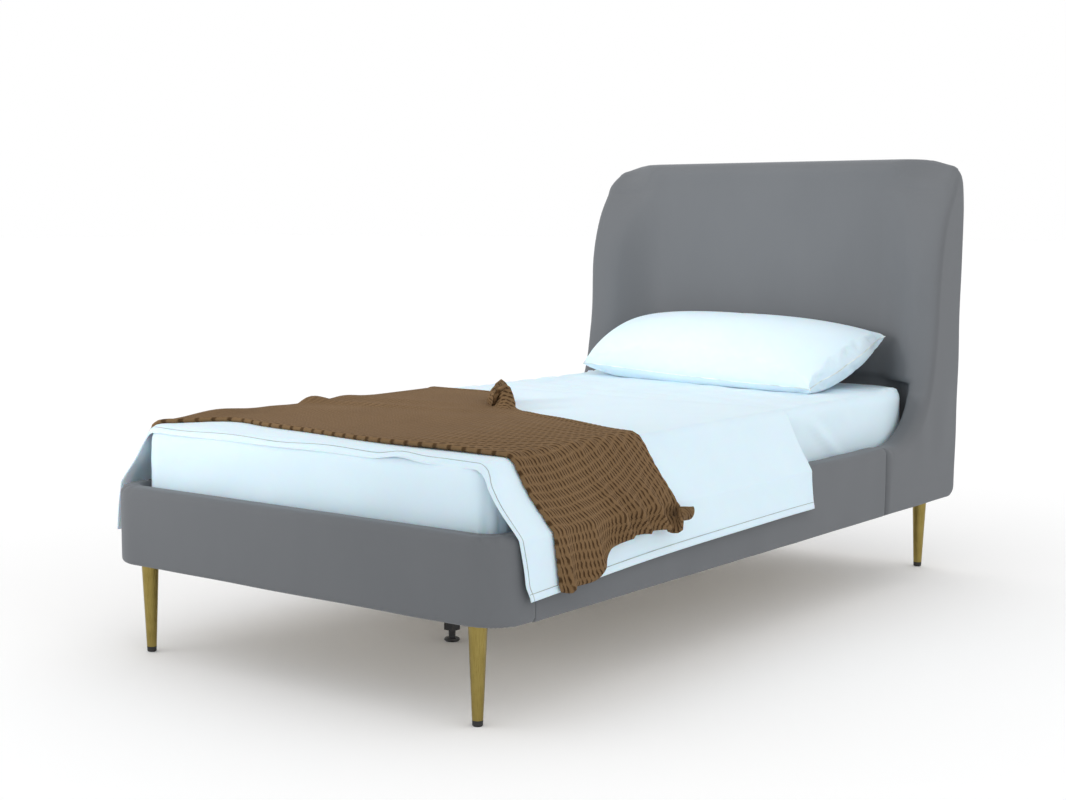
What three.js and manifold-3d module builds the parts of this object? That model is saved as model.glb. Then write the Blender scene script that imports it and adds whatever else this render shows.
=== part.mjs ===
// An upholstered twin platform bed with a curved, winged headboard, dressed with its bedding.
// Millimetres, +Z up. The origin is on the floor, under the middle of the bed; the head is at +Y.
import * as THREE from 'three';
import { mergeVertices } from 'three/addons/utils/BufferGeometryUtils.js';
import Module from 'manifold-3d';

const wasm = await Module();
wasm.setup();

// ---------------------------------------------------------------- driving dimensions
const LENGTH = 2080; // outside of the footboard to the back of the headboard
const HALF_WIDTH = 550; // to the outside of a side rail
const HEIGHT = 1122; // floor to the headboard's top edge
const RAIL_BOTTOM = 202; // also the length of a leg with its washer
const RAIL_TOP = 378;
const RAIL_THICK = 55; // upholstered
const RAIL_EDGE_R = 14; // the round top edge of a rail, on its outside
const CORE_THICK = 34.4; // the timber inside a rail
const FOOT_CORNER_R = 85; // the footboard's round corners, in plan
const FOOT_RETURN_END = 121; // where the footboard's returns meet the side rails
const WING_START = 1646; // where the side rails meet the headboard's wings
const FACE_Y = 1992; // the headboard's face, behind the mattress
const HEAD_CORNER_R = 130; // the recess for the mattress, in plan, at the headboard
const TOP_CORNER_R = 70; // the headboard's top corners, seen from the front
const CLEAR = 0.3; // between pieces that touch

const MATTRESS = { half: 482.5, foot: 60, head: 1965, bottom: 290.8, top: 506 };
const MATTRESS_CORNER_R = { foot: 70, head: 140 };
const MATTRESS_EDGE_R = 20;
const FITTED_THICK = 2; // the fitted sheet's cloth, with its loft
const SHEET_THICK = 3;
const THROW_THICK = 8;

const LEDGE_TOP = 272; // what the slats rest on
const SLAT = { count: 10, width: 95, thick: 18, half: 490, first: 172, pitch: 182 };
const BEAM_HALF = 20; // the centre beam is square
const CENTRE_LEG_Y = [554, 1040, 1526];
const CENTRE_LEG = { half: 13, bottom: 26, bore: 8.5, boreTop: 95 };
const GLIDE = { discR: 18.5, discThick: 7, stemR: 8, stemTop: 70 };

const LEG = { topR: 19, bottomR: 11, tipHeight: 12, studR: 4, studTop: 226 };
const WASHER = { r: 22, thick: 2.6 };
const LEG_PLACES = [
  { name: 'foot_left', x: -463, y: 53 },
  { name: 'foot_right', x: 463, y: 53 },
  { name: 'head_left', x: -466, y: 2047 },
  { name: 'head_right', x: 466, y: 2047 },
];
const POST = { half: 20, y1: 2068, top: 1028 };

// The pillow's corners as it leans on the headboard, its left end pushed into the wing.
const PILLOW = {
  thick: 84,
  frontLeft: [-420, 1700, 552],
  frontRight: [390, 1503, 530],
  backLeft: [-385, 1945, 650],
  backRight: [395, 1925, 642],
};

// ---------------------------------------------------------------- materials
function paint(color, roughness, metalness = 0) {
  return { color, roughness, metalness };
}
const VELVET = paint(0x7f8488, 0.9);
const TIMBER = paint(0xc9a878, 0.7);
const STEEL = paint(0x1c1c1e, 0.5, 0.6);
const BRASS = paint(0xb39a52, 0.3, 0.9);
const PLASTIC = paint(0x141414, 0.6);
const COTTON = paint(0xe4eef4, 0.9);
const TICKING = paint(0xf2efe6, 0.9);
const KNIT = paint(0x6e5338, 0.95);

// ---------------------------------------------------------------- solids
// Distances along the bed are given from the outside of the footboard.
const along = (distance) => distance - LENGTH / 2;

function solid(geometry) {
  const bare = geometry.index ? geometry.toNonIndexed() : geometry.clone();
  bare.deleteAttribute('normal');
  bare.deleteAttribute('uv');
  const merged = mergeVertices(bare, 1e-4);
  return new wasm.Manifold(new wasm.Mesh({
    numProp: 3,
    vertProperties: new Float32Array(merged.attributes.position.array),
    triVerts: new Uint32Array(merged.index.array),
  }));
}

function geometryOf(body) {
  const mesh = body.getMesh();
  const geometry = new THREE.BufferGeometry();
  geometry.setAttribute('position', new THREE.BufferAttribute(mesh.vertProperties, 3));
  geometry.setIndex(new THREE.BufferAttribute(mesh.triVerts, 1));
  geometry.computeVertexNormals();
  return geometry;
}

function block(x0, x1, y0, y1, z0, z1) {
  const geometry = new THREE.BoxGeometry(x1 - x0, y1 - y0, z1 - z0);
  geometry.translate((x0 + x1) / 2, along((y0 + y1) / 2), (z0 + z1) / 2);
  return solid(geometry);
}

// A vertical cylinder or cone, from z0 with radius r0 to z1 with radius r1.
function round(x, y, z0, r0, z1, r1, sides = 24) {
  const profile = [[0, z0], [r0, z0], [r1, z1], [0, z1]].map(([r, z]) => new THREE.Vector2(r, z));
  return turned(x, y, profile, sides);
}

function turned(x, y, profile, sides = 24) {
  const geometry = new THREE.LatheGeometry(profile, sides);
  geometry.rotateX(Math.PI / 2);
  geometry.translate(x, along(y), 0);
  return solid(geometry);
}

const BEVEL_OFF = { bevelEnabled: false };
function bevelled(size, segments = 3) {
  return { bevelEnabled: true, bevelSize: size, bevelThickness: size, bevelOffset: -size,
    bevelSegments: segments };
}

// An outline drawn in the X-Y plane, raised from z0 to z1.
function raise(shape, z0, z1, edge = BEVEL_OFF) {
  const inset = edge.bevelThickness ?? 0;
  const geometry = new THREE.ExtrudeGeometry(shape,
    { depth: z1 - z0 - 2 * inset, curveSegments: 6, ...edge });
  geometry.translate(0, along(0), z0 + inset);
  return solid(geometry);
}

// An outline drawn in the Y-Z plane, pushed across from x0 to x1.
function across(shape, x0, x1, edge = BEVEL_OFF) {
  const inset = edge.bevelThickness ?? 0;
  const geometry = new THREE.ExtrudeGeometry(shape,
    { depth: x1 - x0 - 2 * inset, curveSegments: 10, ...edge });
  geometry.applyMatrix4(new THREE.Matrix4().makeBasis(
    new THREE.Vector3(0, 1, 0), new THREE.Vector3(0, 0, 1), new THREE.Vector3(1, 0, 0)));
  geometry.translate(x0 + inset, along(0), 0);
  return solid(geometry);
}

// An outline drawn in the X-Z plane, pushed along the bed from y0 to y1.
function lengthwise(shape, y0, y1, curveSegments = 6) {
  const geometry = new THREE.ExtrudeGeometry(shape, { depth: y1 - y0, curveSegments, ...BEVEL_OFF });
  geometry.applyMatrix4(new THREE.Matrix4().makeBasis(
    new THREE.Vector3(1, 0, 0), new THREE.Vector3(0, 0, 1), new THREE.Vector3(0, -1, 0)));
  geometry.translate(0, along(y1), 0);
  return solid(geometry);
}

function polygon(points) {
  return new THREE.Shape(points.map(([a, b]) => new THREE.Vector2(a, b)));
}

// A rectangle with its own corner radius at each end.
function roundedRectangle(x0, x1, y0, y1, r0, r1) {
  const shape = new THREE.Shape();
  shape.moveTo(x0 + r0, y0);
  shape.lineTo(x1 - r0, y0);
  shape.absarc(x1 - r0, y0 + r0, r0, -Math.PI / 2, 0);
  shape.lineTo(x1, y1 - r1);
  shape.absarc(x1 - r1, y1 - r1, r1, 0, Math.PI / 2);
  shape.lineTo(x0 + r1, y1);
  shape.absarc(x0 + r1, y1 - r1, r1, Math.PI / 2, Math.PI);
  shape.lineTo(x0, y0 + r0);
  shape.absarc(x0 + r0, y0 + r0, r0, Math.PI, 1.5 * Math.PI);
  return shape;
}

const group = new THREE.Group();
function add(name, body, { color, roughness, metalness }) {
  const material = new THREE.MeshStandardMaterial({ color, roughness, metalness });
  const mesh = new THREE.Mesh(geometryOf(body), material);
  mesh.name = name;
  group.add(mesh);
}

// ---------------------------------------------------------------- headboard
// The wing's front edge: level along the rail, a sweep up, an upright stretch and a roll back.
// A cover of some thickness is the same curve, moved in by that thickness.
const WING_CURVE = [
  { y: 1700, z: 379 },
  { c1: [1795, 383], c2: [1862, 445], y: 1885, z: 530 },
  { c1: [1897, 575], c2: [1907, 650], y: 1909, z: 730 },
  { c1: [1911, 800], c2: [1914, 858], y: 1932, z: 920 },
  { c1: [1950, 982], c2: [1985, 1035], y: 2040, z: 1085 },
];

function wingCurve(path) {
  const [start, ...rest] = WING_CURVE;
  path.lineTo(start.y, start.z);
  for (const { c1, c2, y, z } of rest) path.bezierCurveTo(...c1, ...c2, y, z);
}

// How far forward the wing's edge stands at a height.
const wingPoints = (() => {
  const path = new THREE.Path();
  path.moveTo(WING_START, RAIL_TOP);
  wingCurve(path);
  path.lineTo(2066, HEIGHT);
  return path.getPoints(16);
})();

function wingFront(z) {
  const after = wingPoints.findIndex((p) => p.y >= z);
  if (after <= 0) return wingPoints[0].x;
  const [a, b] = [wingPoints[after - 1], wingPoints[after]];
  return a.x + (b.x - a.x) * (z - a.y) / Math.max(b.y - a.y, 1e-6);
}

// The side view that both the wings and the face lie within.
function sideOutline() {
  const shape = new THREE.Shape();
  shape.moveTo(WING_START + CLEAR, RAIL_BOTTOM);
  shape.lineTo(WING_START + CLEAR, RAIL_TOP);
  const [start, ...rest] = WING_CURVE.slice(0, 4);
  shape.lineTo(start.y, start.z);
  for (const { c1, c2, y, z } of rest) shape.bezierCurveTo(...c1, ...c2, y, z);
  shape.bezierCurveTo(1945, 965, 1962, 1000, FACE_Y, 1040);
  shape.lineTo(FACE_Y, HEIGHT - 40);
  shape.absarc(FACE_Y + 40, HEIGHT - 40, 40, Math.PI, Math.PI / 2, true);
  shape.lineTo(LENGTH - 16, HEIGHT);
  shape.absarc(LENGTH - 16, HEIGHT - 16, 16, Math.PI / 2, 0, true);
  shape.lineTo(LENGTH, RAIL_BOTTOM + 36);
  shape.absarc(LENGTH - 36, RAIL_BOTTOM + 36, 36, 0, -Math.PI / 2, true);
  return shape;
}

function smoothstep(t) {
  const c = Math.min(Math.max(t, 0), 1);
  return c * c * (3 - 2 * c);
}

// The face is flat in the middle and swings out to the wings' front edge; above the height where
// that edge has rolled back past the face, it swings back instead, and rounds the top corners.
const FACE_FLAT = 350;
const FACE_SWING = 165;
function faceY(x, z) {
  const swing = smoothstep((Math.abs(x) - FACE_FLAT) / FACE_SWING);
  return FACE_Y + (wingFront(z) - 1 - FACE_Y) * swing;
}

// Everything in front of the face, from just under the mattress's top up past the headboard.
function spaceInFront() {
  const xs = [0, 1, 2, 3, 4, 5, 6].map((i) => FACE_FLAT + FACE_SWING * i / 6);
  xs.push(HALF_WIDTH + 2);
  const columns = [...xs.toReversed().map((x) => -x), 0, ...xs];
  const rows = [];
  for (let z = 530; z < 900; z += 60) rows.push(z);
  for (let z = 900; z < 1126; z += 25) rows.push(z);
  rows.push(1140);
  const front = 1560;
  const positions = [];
  for (const y of [null, front]) {
    for (const z of rows) {
      for (const x of columns) positions.push(x, along(y ?? faceY(x, z)), z);
    }
  }
  const [nx, nz] = [columns.length, rows.length];
  const at = (side, i, j) => side * nx * nz + j * nx + i;
  const faces = [];
  const quad = (a, b, c, d) => faces.push(a, b, c, a, c, d);
  for (let j = 0; j < nz - 1; j++) {
    for (let i = 0; i < nx - 1; i++) {
      quad(at(0, i, j), at(0, i, j + 1), at(0, i + 1, j + 1), at(0, i + 1, j));
      quad(at(1, i, j), at(1, i + 1, j), at(1, i + 1, j + 1), at(1, i, j + 1));
    }
    quad(at(0, 0, j), at(1, 0, j), at(1, 0, j + 1), at(0, 0, j + 1));
    quad(at(0, nx - 1, j), at(0, nx - 1, j + 1), at(1, nx - 1, j + 1), at(1, nx - 1, j));
  }
  for (let i = 0; i < nx - 1; i++) {
    quad(at(0, i, 0), at(0, i + 1, 0), at(1, i + 1, 0), at(1, i, 0));
    quad(at(0, i, nz - 1), at(1, i, nz - 1), at(1, i + 1, nz - 1), at(0, i + 1, nz - 1));
  }
  const geometry = new THREE.BufferGeometry();
  geometry.setAttribute('position', new THREE.Float32BufferAttribute(positions, 3));
  geometry.setIndex(faces);
  return solid(geometry);
}

const PAD = 17; // the foam and velvet over the wing boards
const WING_BOARD = { x0: 513.6, x1: 532.4 };
const BACK = { half: 523, bottom: 215, top: 1032, y0: 2010 };

// The wing board's outline: the wing's side view, moved in by the padding.
function wingBoardOutline(inset) {
  const shape = new THREE.Shape();
  const depth = PAD + inset;
  shape.moveTo(WING_START + 14 + inset, RAIL_BOTTOM - 1);
  shape.lineTo(WING_START + 14 + inset, RAIL_TOP - depth);
  const curve = wingPoints.slice(1, -1).filter((p) => p.y < 1000);
  for (let i = 1; i < curve.length - 1; i++) {
    const tangent = curve[i + 1].clone().sub(curve[i - 1]).normalize();
    const y = curve[i].x + tangent.y * depth;
    if (y < BACK.y0 - 4) shape.lineTo(y, curve[i].y - tangent.x * depth);
  }
  shape.lineTo(BACK.y0 - 3 - inset, 975 - inset);
  shape.lineTo(BACK.y0 - 3 - inset, RAIL_BOTTOM - 1);
  return shape;
}

function headboardUpholstery() {
  const corners = new THREE.Shape();
  corners.moveTo(-HALF_WIDTH, RAIL_BOTTOM - 5);
  corners.lineTo(HALF_WIDTH, RAIL_BOTTOM - 5);
  corners.lineTo(HALF_WIDTH, HEIGHT - TOP_CORNER_R);
  corners.absarc(HALF_WIDTH - TOP_CORNER_R, HEIGHT - TOP_CORNER_R, TOP_CORNER_R, 0, Math.PI / 2);
  corners.lineTo(TOP_CORNER_R - HALF_WIDTH, HEIGHT);
  corners.absarc(TOP_CORNER_R - HALF_WIDTH, HEIGHT - TOP_CORNER_R, TOP_CORNER_R,
    Math.PI / 2, Math.PI);
  const inner = HALF_WIDTH - RAIL_THICK;
  const recess = roundedRectangle(-inner, inner, 1500, FACE_Y, 10, HEAD_CORNER_R);
  let body = across(sideOutline(), -HALF_WIDTH, HALF_WIDTH, bevelled(14))
    .intersect(lengthwise(corners, WING_START - 20, LENGTH + 20, 8))
    .subtract(raise(recess, RAIL_BOTTOM - 10, 545))
    .subtract(spaceInFront())
    .subtract(block(-BACK.half, BACK.half, BACK.y0, LENGTH + 5, RAIL_BOTTOM - 5, BACK.top));
  for (const side of [-1, 1]) {
    const [a, b] = [WING_BOARD.x0 - CLEAR, WING_BOARD.x1 + CLEAR].map((x) => side * x);
    body = body.subtract(across(wingBoardOutline(-CLEAR), Math.min(a, b), Math.max(a, b)));
  }
  return body;
}

function buildHeadboard() {
  add('headboard_upholstery', headboardUpholstery(), VELVET);
  const faceBack = BACK.y0 + 14;
  add('headboard_face_board',
    block(-522.4, 522.4, BACK.y0 + CLEAR, faceBack, RAIL_BOTTOM + 3, BACK.top - 1), TIMBER);
  const railHalf = LEG_PLACES[3].x - POST.half - CLEAR;
  for (const { name, x, y } of LEG_PLACES.slice(2)) {
    const post = block(x - POST.half, x + POST.half, faceBack + CLEAR, POST.y1, RAIL_BOTTOM + CLEAR,
      POST.top).subtract(round(x, y, RAIL_BOTTOM - 5, LEG.studR + 0.5, 230, LEG.studR + 0.5));
    add(name.replace('head', 'headboard_post'), post, TIMBER);
  }
  for (const [name, z] of [['headboard_bottom_rail', 205], ['headboard_top_rail', 985]]) {
    add(name, block(-railHalf, railHalf, faceBack + CLEAR, POST.y1, z, z + 42), TIMBER);
  }
  for (const [name, side] of [['left', -1], ['right', 1]]) {
    const [a, b] = [WING_BOARD.x0, WING_BOARD.x1].map((x) => side * x);
    const board = across(wingBoardOutline(CLEAR), Math.min(a, b), Math.max(a, b))
      .subtract(block(-600, 600, 1600, 2100, 0, RAIL_BOTTOM + 2));
    add(`wing_board_${name}`, board, TIMBER);
  }
  add('headboard_back_panel', block(-522.5, 522.5, POST.y1 + 4, LENGTH - 0.4, RAIL_BOTTOM + 1,
    BACK.top - 0.5), VELVET);
}

// ---------------------------------------------------------------- footboard and side rails
// A strip bent round the front corners, between two depths measured in from the outside.
function bentStrip(outer, inner, end) {
  const shape = new THREE.Shape();
  const [xo, xi] = [HALF_WIDTH - outer, HALF_WIDTH - inner];
  const [ro, ri] = [FOOT_CORNER_R - outer, FOOT_CORNER_R - inner];
  shape.moveTo(xo - ro, outer);
  shape.absarc(xo - ro, outer + ro, ro, -Math.PI / 2, 0);
  shape.lineTo(xo, end);
  shape.lineTo(xi, end);
  shape.absarc(xi - ri, inner + ri, ri, 0, -Math.PI / 2, true);
  shape.absarc(ri - xi, inner + ri, ri, -Math.PI / 2, -Math.PI, true);
  shape.lineTo(-xi, end);
  shape.lineTo(-xo, end);
  shape.absarc(ro - xo, outer + ro, ro, Math.PI, 1.5 * Math.PI);
  return shape;
}

const CORE = { outer: 10.3, inner: 10.3 + CORE_THICK, top: RAIL_TOP - 12 };
const CORNER_BLOCK = { x0: 426, x1: 494.4, y0: 45.1, y1: 115, z1: 271.7 };

function buildFootboard() {
  const grown = 0.6;
  let cover = raise(bentStrip(0, RAIL_THICK, FOOT_RETURN_END), RAIL_BOTTOM, RAIL_TOP,
    bevelled(RAIL_EDGE_R))
    .subtract(raise(bentStrip(CORE.outer - CLEAR, CORE.inner + CLEAR, FOOT_RETURN_END + 5),
      RAIL_BOTTOM - 5, CORE.top + CLEAR));
  for (const side of [-1, 1]) {
    const [a, b] = [side * (CORNER_BLOCK.x0 - grown), side * (CORNER_BLOCK.x1 + grown)];
    cover = cover.subtract(block(Math.min(a, b), Math.max(a, b), CORNER_BLOCK.y0 - grown,
      CORNER_BLOCK.y1 + grown, RAIL_BOTTOM - 5, CORNER_BLOCK.z1 + grown));
  }
  add('footboard_upholstery', cover, VELVET);
  add('footboard_core', raise(bentStrip(CORE.outer, CORE.inner, FOOT_RETURN_END - 1),
    RAIL_BOTTOM + 3, CORE.top), TIMBER);
  for (const { name, x, y } of LEG_PLACES.slice(0, 2)) {
    const [a, b] = [Math.sign(x) * CORNER_BLOCK.x0, Math.sign(x) * CORNER_BLOCK.x1];
    const corner = block(Math.min(a, b), Math.max(a, b), CORNER_BLOCK.y0, CORNER_BLOCK.y1,
      RAIL_BOTTOM + CLEAR, CORNER_BLOCK.z1);
    const hole = round(x, y, RAIL_BOTTOM - 5, LEG.studR + 0.4, 230, LEG.studR + 0.4);
    const core = raise(bentStrip(CORE.outer, CORE.inner + CLEAR, FOOT_RETURN_END), 0, HEIGHT);
    add(name.replace('foot', 'corner_block'), corner.subtract(hole).subtract(core), TIMBER);
  }
}

// The upholstered rail's cross-section; outward is the rail's outer side, +1 or -1 along X.
function railSection(outward) {
  const outer = outward * HALF_WIDTH;
  const inner = outward * (HALF_WIDTH - RAIL_THICK);
  const [big, small] = [RAIL_EDGE_R, 10];
  const centre = outer - outward * big;
  const shape = new THREE.Shape();
  shape.moveTo(inner, RAIL_BOTTOM);
  shape.lineTo(outer - outward * 6, RAIL_BOTTOM);
  shape.lineTo(outer, RAIL_BOTTOM + 6);
  shape.lineTo(outer, RAIL_TOP - big);
  const [from, clockwise] = outward > 0 ? [0, false] : [Math.PI, true];
  shape.absarc(centre, RAIL_TOP - big, big, from, Math.PI / 2, clockwise);
  shape.absarc(inner + outward * small, RAIL_TOP - small, small, Math.PI / 2, Math.PI - from,
    clockwise);
  return shape;
}

const LEDGE = { depth: 35, height: 35, y0: 130, y1: 1862 };

function buildSideRails() {
  const [y0, y1] = [FOOT_RETURN_END + CLEAR, WING_START - CLEAR];
  for (const [name, side] of [['left', -1], ['right', 1]]) {
    const slab = (from, to, ...rest) => block(Math.min(side * from, side * to),
      Math.max(side * from, side * to), ...rest);
    const [coreIn, coreOut] = [HALF_WIDTH - CORE.inner, HALF_WIDTH - CORE.outer];
    const slot = slab(coreIn - CLEAR, coreOut + CLEAR, y0 - 5, y1 + 5, RAIL_BOTTOM - 5,
      CORE.top + CLEAR);
    const inner = HALF_WIDTH - RAIL_THICK;
    add(`side_rail_upholstery_${name}`, lengthwise(railSection(side), y0, y1).subtract(slot),
      VELVET);
    add(`side_rail_board_${name}`, slab(coreIn, coreOut, y0, y1, RAIL_BOTTOM + 3, CORE.top), TIMBER);
    add(`slat_ledge_${name}`, slab(inner - LEDGE.depth, inner - CLEAR, LEDGE.y0, LEDGE.y1,
      LEDGE_TOP - LEDGE.height, LEDGE_TOP), TIMBER);
    const [plate, low, high] = [3.3, 207, 235];
    add(`foot_bracket_${name}`,
      slab(430, inner - CLEAR, CORNER_BLOCK.y1 + CLEAR, CORNER_BLOCK.y1 + plate, low, high)
        .add(slab(inner - plate, inner - CLEAR, CORNER_BLOCK.y1 + CLEAR, 190, low, high)), STEEL);
    add(`head_bracket_${name}`,
      slab(inner - plate, inner - CLEAR, WING_START - 60, WING_START + 60, low, high), STEEL);
  }
}

// ---------------------------------------------------------------- legs and centre support
function buildLegs() {
  const washerTop = RAIL_BOTTOM - CLEAR;
  const legTop = washerTop - WASHER.thick - CLEAR;
  const tipR = LEG.bottomR - 0.6;
  for (const { name, x, y } of LEG_PLACES) {
    add(`leg_washer_${name}`,
      round(x, y, legTop + CLEAR, WASHER.r, washerTop, WASHER.r, 32)
        .subtract(round(x, y, 190, LEG.studR + 0.4, 210, LEG.studR + 0.4)), STEEL);
    const base = LEG.tipHeight + CLEAR;
    add(`leg_${name}`,
      round(x, y, base, LEG.bottomR, legTop, LEG.topR, 32)
        .add(round(x, y, legTop - 10, LEG.studR, LEG.studTop, LEG.studR)), BRASS);
    const tip = [[0, 0], [tipR - 2, 0], [tipR, 2], [tipR + 0.6, LEG.tipHeight], [0, LEG.tipHeight]];
    add(`leg_tip_${name}`, turned(x, y, tip.map(([r, z]) => new THREE.Vector2(r, z))), PLASTIC);
  }
}

function buildCentreSupport() {
  const [footFace, headFace] = [RAIL_THICK, FACE_Y];
  const [plate, wall] = [3, 2.5];
  const beamBottom = LEDGE_TOP - 2 * BEAM_HALF;
  const seat = (name, face, inward) => {
    const span = (from, to) => [face + inward * from, face + inward * to].sort((a, b) => a - b);
    const back = block(-34, 34, ...span(CLEAR, plate), beamBottom - 8, LEDGE_TOP - 1);
    const inner = BEAM_HALF + CLEAR;
    const cup = block(-inner - wall, inner + wall, ...span(CLEAR, 60), beamBottom - CLEAR - wall,
      LEDGE_TOP - 8).subtract(block(-inner, inner, ...span(plate, 65), beamBottom - CLEAR, 300));
    add(name, back.add(cup), STEEL);
  };
  seat('beam_bracket_foot', footFace, 1);
  seat('beam_bracket_head', headFace, -1);
  add('centre_beam', block(-BEAM_HALF, BEAM_HALF, footFace + plate + CLEAR,
    headFace - plate - CLEAR, beamBottom, LEDGE_TOP), TIMBER);
  CENTRE_LEG_Y.forEach((y, i) => {
    const { half, bottom, bore, boreTop } = CENTRE_LEG;
    add(`centre_leg_${i + 1}`,
      block(-half, half, y - half, y + half, bottom, beamBottom - CLEAR)
        .subtract(round(0, y, bottom - 5, bore, boreTop, bore)), PLASTIC);
    const { discR, discThick, stemR, stemTop } = GLIDE;
    const profile = [[0, 0], [discR - 3, 0], [discR, 3], [discR - 1.5, discThick], [stemR, discThick],
      [stemR, stemTop], [0, stemTop]];
    add(`levelling_foot_${i + 1}`, turned(0, y, profile.map(([r, z]) => new THREE.Vector2(r, z))),
      PLASTIC);
  });
}

function buildSlats() {
  for (let i = 0; i < SLAT.count; i++) {
    const y = SLAT.first + i * SLAT.pitch;
    add(`slat_${String(i + 1).padStart(2, '0')}`,
      block(-SLAT.half, SLAT.half, y - SLAT.width / 2, y + SLAT.width / 2, LEDGE_TOP + CLEAR,
        LEDGE_TOP + CLEAR + SLAT.thick), TIMBER);
  }
}

// ---------------------------------------------------------------- mattress and bedding
// The mattress's block, grown by a margin all round, from a given height up.
function mattressBlock(margin, bottom, segments = 2) {
  const { half, foot, head, top } = MATTRESS;
  const outline = roundedRectangle(-half - margin, half + margin, foot - margin, head + margin,
    MATTRESS_CORNER_R.foot + margin, MATTRESS_CORNER_R.head + margin);
  return raise(outline, bottom, top + margin, bevelled(MATTRESS_EDGE_R + margin, segments));
}

const FITTED_BOTTOM = 300; // the fitted sheet's hem, under the rails' top
function buildMattress() {
  add('mattress', mattressBlock(0, MATTRESS.bottom), TICKING);
  const below = block(-700, 700, -50, 2200, 0, FITTED_BOTTOM);
  const cloth = mattressBlock(CLEAR + FITTED_THICK, MATTRESS.bottom - 30)
    .subtract(mattressBlock(CLEAR, MATTRESS.bottom - 40))
    .subtract(below);
  add('fitted_sheet', cloth, COTTON);
}

// Cloth laid over the mattress and down over a rail on each side, seen from the foot end: the line of
// its underside. It is `lift` off the fitted sheet and the rails; its hem is at height `drop`, `reach`
// out from the middle.
function drapeLine(lift, drop, reach) {
  const edge = { x: MATTRESS.half - MATTRESS_EDGE_R, z: MATTRESS.top - MATTRESS_EDGE_R };
  const edgeR = MATTRESS_EDGE_R + CLEAR + FITTED_THICK + lift;
  const rail = { x: HALF_WIDTH - RAIL_EDGE_R, z: RAIL_TOP - RAIL_EDGE_R };
  const railR = RAIL_EDGE_R + lift + 0.4;
  const [dx, dz] = [rail.x - edge.x, rail.z - edge.z];
  const turn = Math.atan2(-dz, dx);
  const normal = Math.PI / 2 - turn + Math.asin((railR - edgeR) / Math.hypot(dx, dz));
  const half = [];
  for (let i = 0; i <= 4; i++) {
    const a = Math.PI / 2 + (normal - Math.PI / 2) * (i / 4);
    half.push([edge.x + edgeR * Math.cos(a), edge.z + edgeR * Math.sin(a)]);
  }
  for (let i = 0; i <= 3; i++) {
    const a = normal * (1 - i / 3);
    half.push([rail.x + railR * Math.cos(a), rail.z + railR * Math.sin(a)]);
  }
  half.push([reach, drop]);
  return [...half.map(([x, z]) => [-x, z]).reverse(), ...half];
}

// A closed strip of even thickness with the given line as its underside.
function strip(line, thickness) {
  const upper = line.map((point, i) => {
    const before = line[Math.max(i - 1, 0)];
    const after = line[Math.min(i + 1, line.length - 1)];
    const [tx, tz] = [after[0] - before[0], after[1] - before[1]];
    const length = Math.hypot(tx, tz);
    return [point[0] - tz / length * thickness, point[1] + tx / length * thickness];
  });
  return polygon([...line, ...upper.reverse()]);
}

const OVERHANG = 572; // the farthest the cloth hangs out, at either side
const TOP_SHEET = { y0: 62, y1: 1228, drop: 266 };
const THROW = { y0: 92, y1: 1090, drop: 262 };

function buildTopSheet() {
  const lift = 0.4;
  const line = drapeLine(lift, TOP_SHEET.drop, OVERHANG - THROW_THICK - 2 - SHEET_THICK);
  add('top_sheet', lengthwise(strip(line, SHEET_THICK), TOP_SHEET.y0, TOP_SHEET.y1), COTTON);
}

// The throw lies across the sheet, wide at the left and gathered where it hangs on the right.
function throwOutline() {
  const nearEdge = [[-600, 190], [-400, 120], [600, 100]];
  const farEdge = [[600, 640], [500, 520], [200, 640], [-50, 860], [-600, 1080]];
  return polygon([...nearEdge, ...farEdge]);
}

function buildThrow() {
  const lift = SHEET_THICK + 0.8;
  const line = drapeLine(lift, THROW.drop, OVERHANG - THROW_THICK);
  const cloth = lengthwise(strip(line, THROW_THICK), THROW.y0, THROW.y1)
    .intersect(raise(throwOutline(), 0, 900));
  add('throw_blanket', cloth, KNIT);
}

// The pillow, drawn in by a margin: fullest in the middle, thin along its seam, and drawn in
// between its corners.
function cushion(margin) {
  const [nu, nv] = [16, 8];
  const corner = (name) => new THREE.Vector3(...PILLOW[name]);
  const [fl, fr] = [corner('frontLeft'), corner('frontRight')];
  const [bl, br] = [corner('backLeft'), corner('backRight')];
  const normal = fr.clone().sub(fl).cross(bl.clone().sub(fl)).normalize();
  const [length, reach] = [fr.distanceTo(fl), br.distanceTo(fr)];
  const place = (u, v) => fl.clone().lerp(fr, u).lerp(bl.clone().lerp(br, u), v);
  const spread = (i, n) => Math.sin((i / n - 0.5) * Math.PI);
  const positions = [];
  for (const side of [1, -1]) {
    for (let j = 0; j <= nv; j++) {
      for (let i = 0; i <= nu; i++) {
        const [u, v] = [spread(i, nu), spread(j, nv)];
        const swell = ((1 - u ** 4) * (1 - v ** 2)) ** 0.5;
        const s = u * (1 - 0.04 * (1 - v * v)) * (1 - 2 * margin / length);
        const t = v * (1 - 0.05 * (1 - u * u)) * (1 - 2 * margin / reach);
        const point = place((1 + s) / 2, (1 + t) / 2)
          .addScaledVector(normal, side * (PILLOW.thick - margin / 4) * swell);
        positions.push(point.x, along(point.y), point.z);
      }
    }
  }
  const at = (side, i, j) => (side * (nv + 1) + j) * (nu + 1) + i;
  const faces = [];
  for (let j = 0; j < nv; j++) {
    for (let i = 0; i < nu; i++) {
      const [a, b, c, d] = [[i, j], [i + 1, j], [i + 1, j + 1], [i, j + 1]];
      for (const [p, q, r] of [[a, b, c], [a, c, d]]) {
        faces.push(at(0, ...p), at(0, ...q), at(0, ...r));
        faces.push(at(1, ...p), at(1, ...r), at(1, ...q));
      }
    }
  }
  const geometry = new THREE.BufferGeometry();
  geometry.setAttribute('position', new THREE.Float32BufferAttribute(positions, 3));
  geometry.setIndex(faces);
  return solid(geometry);
}

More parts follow.
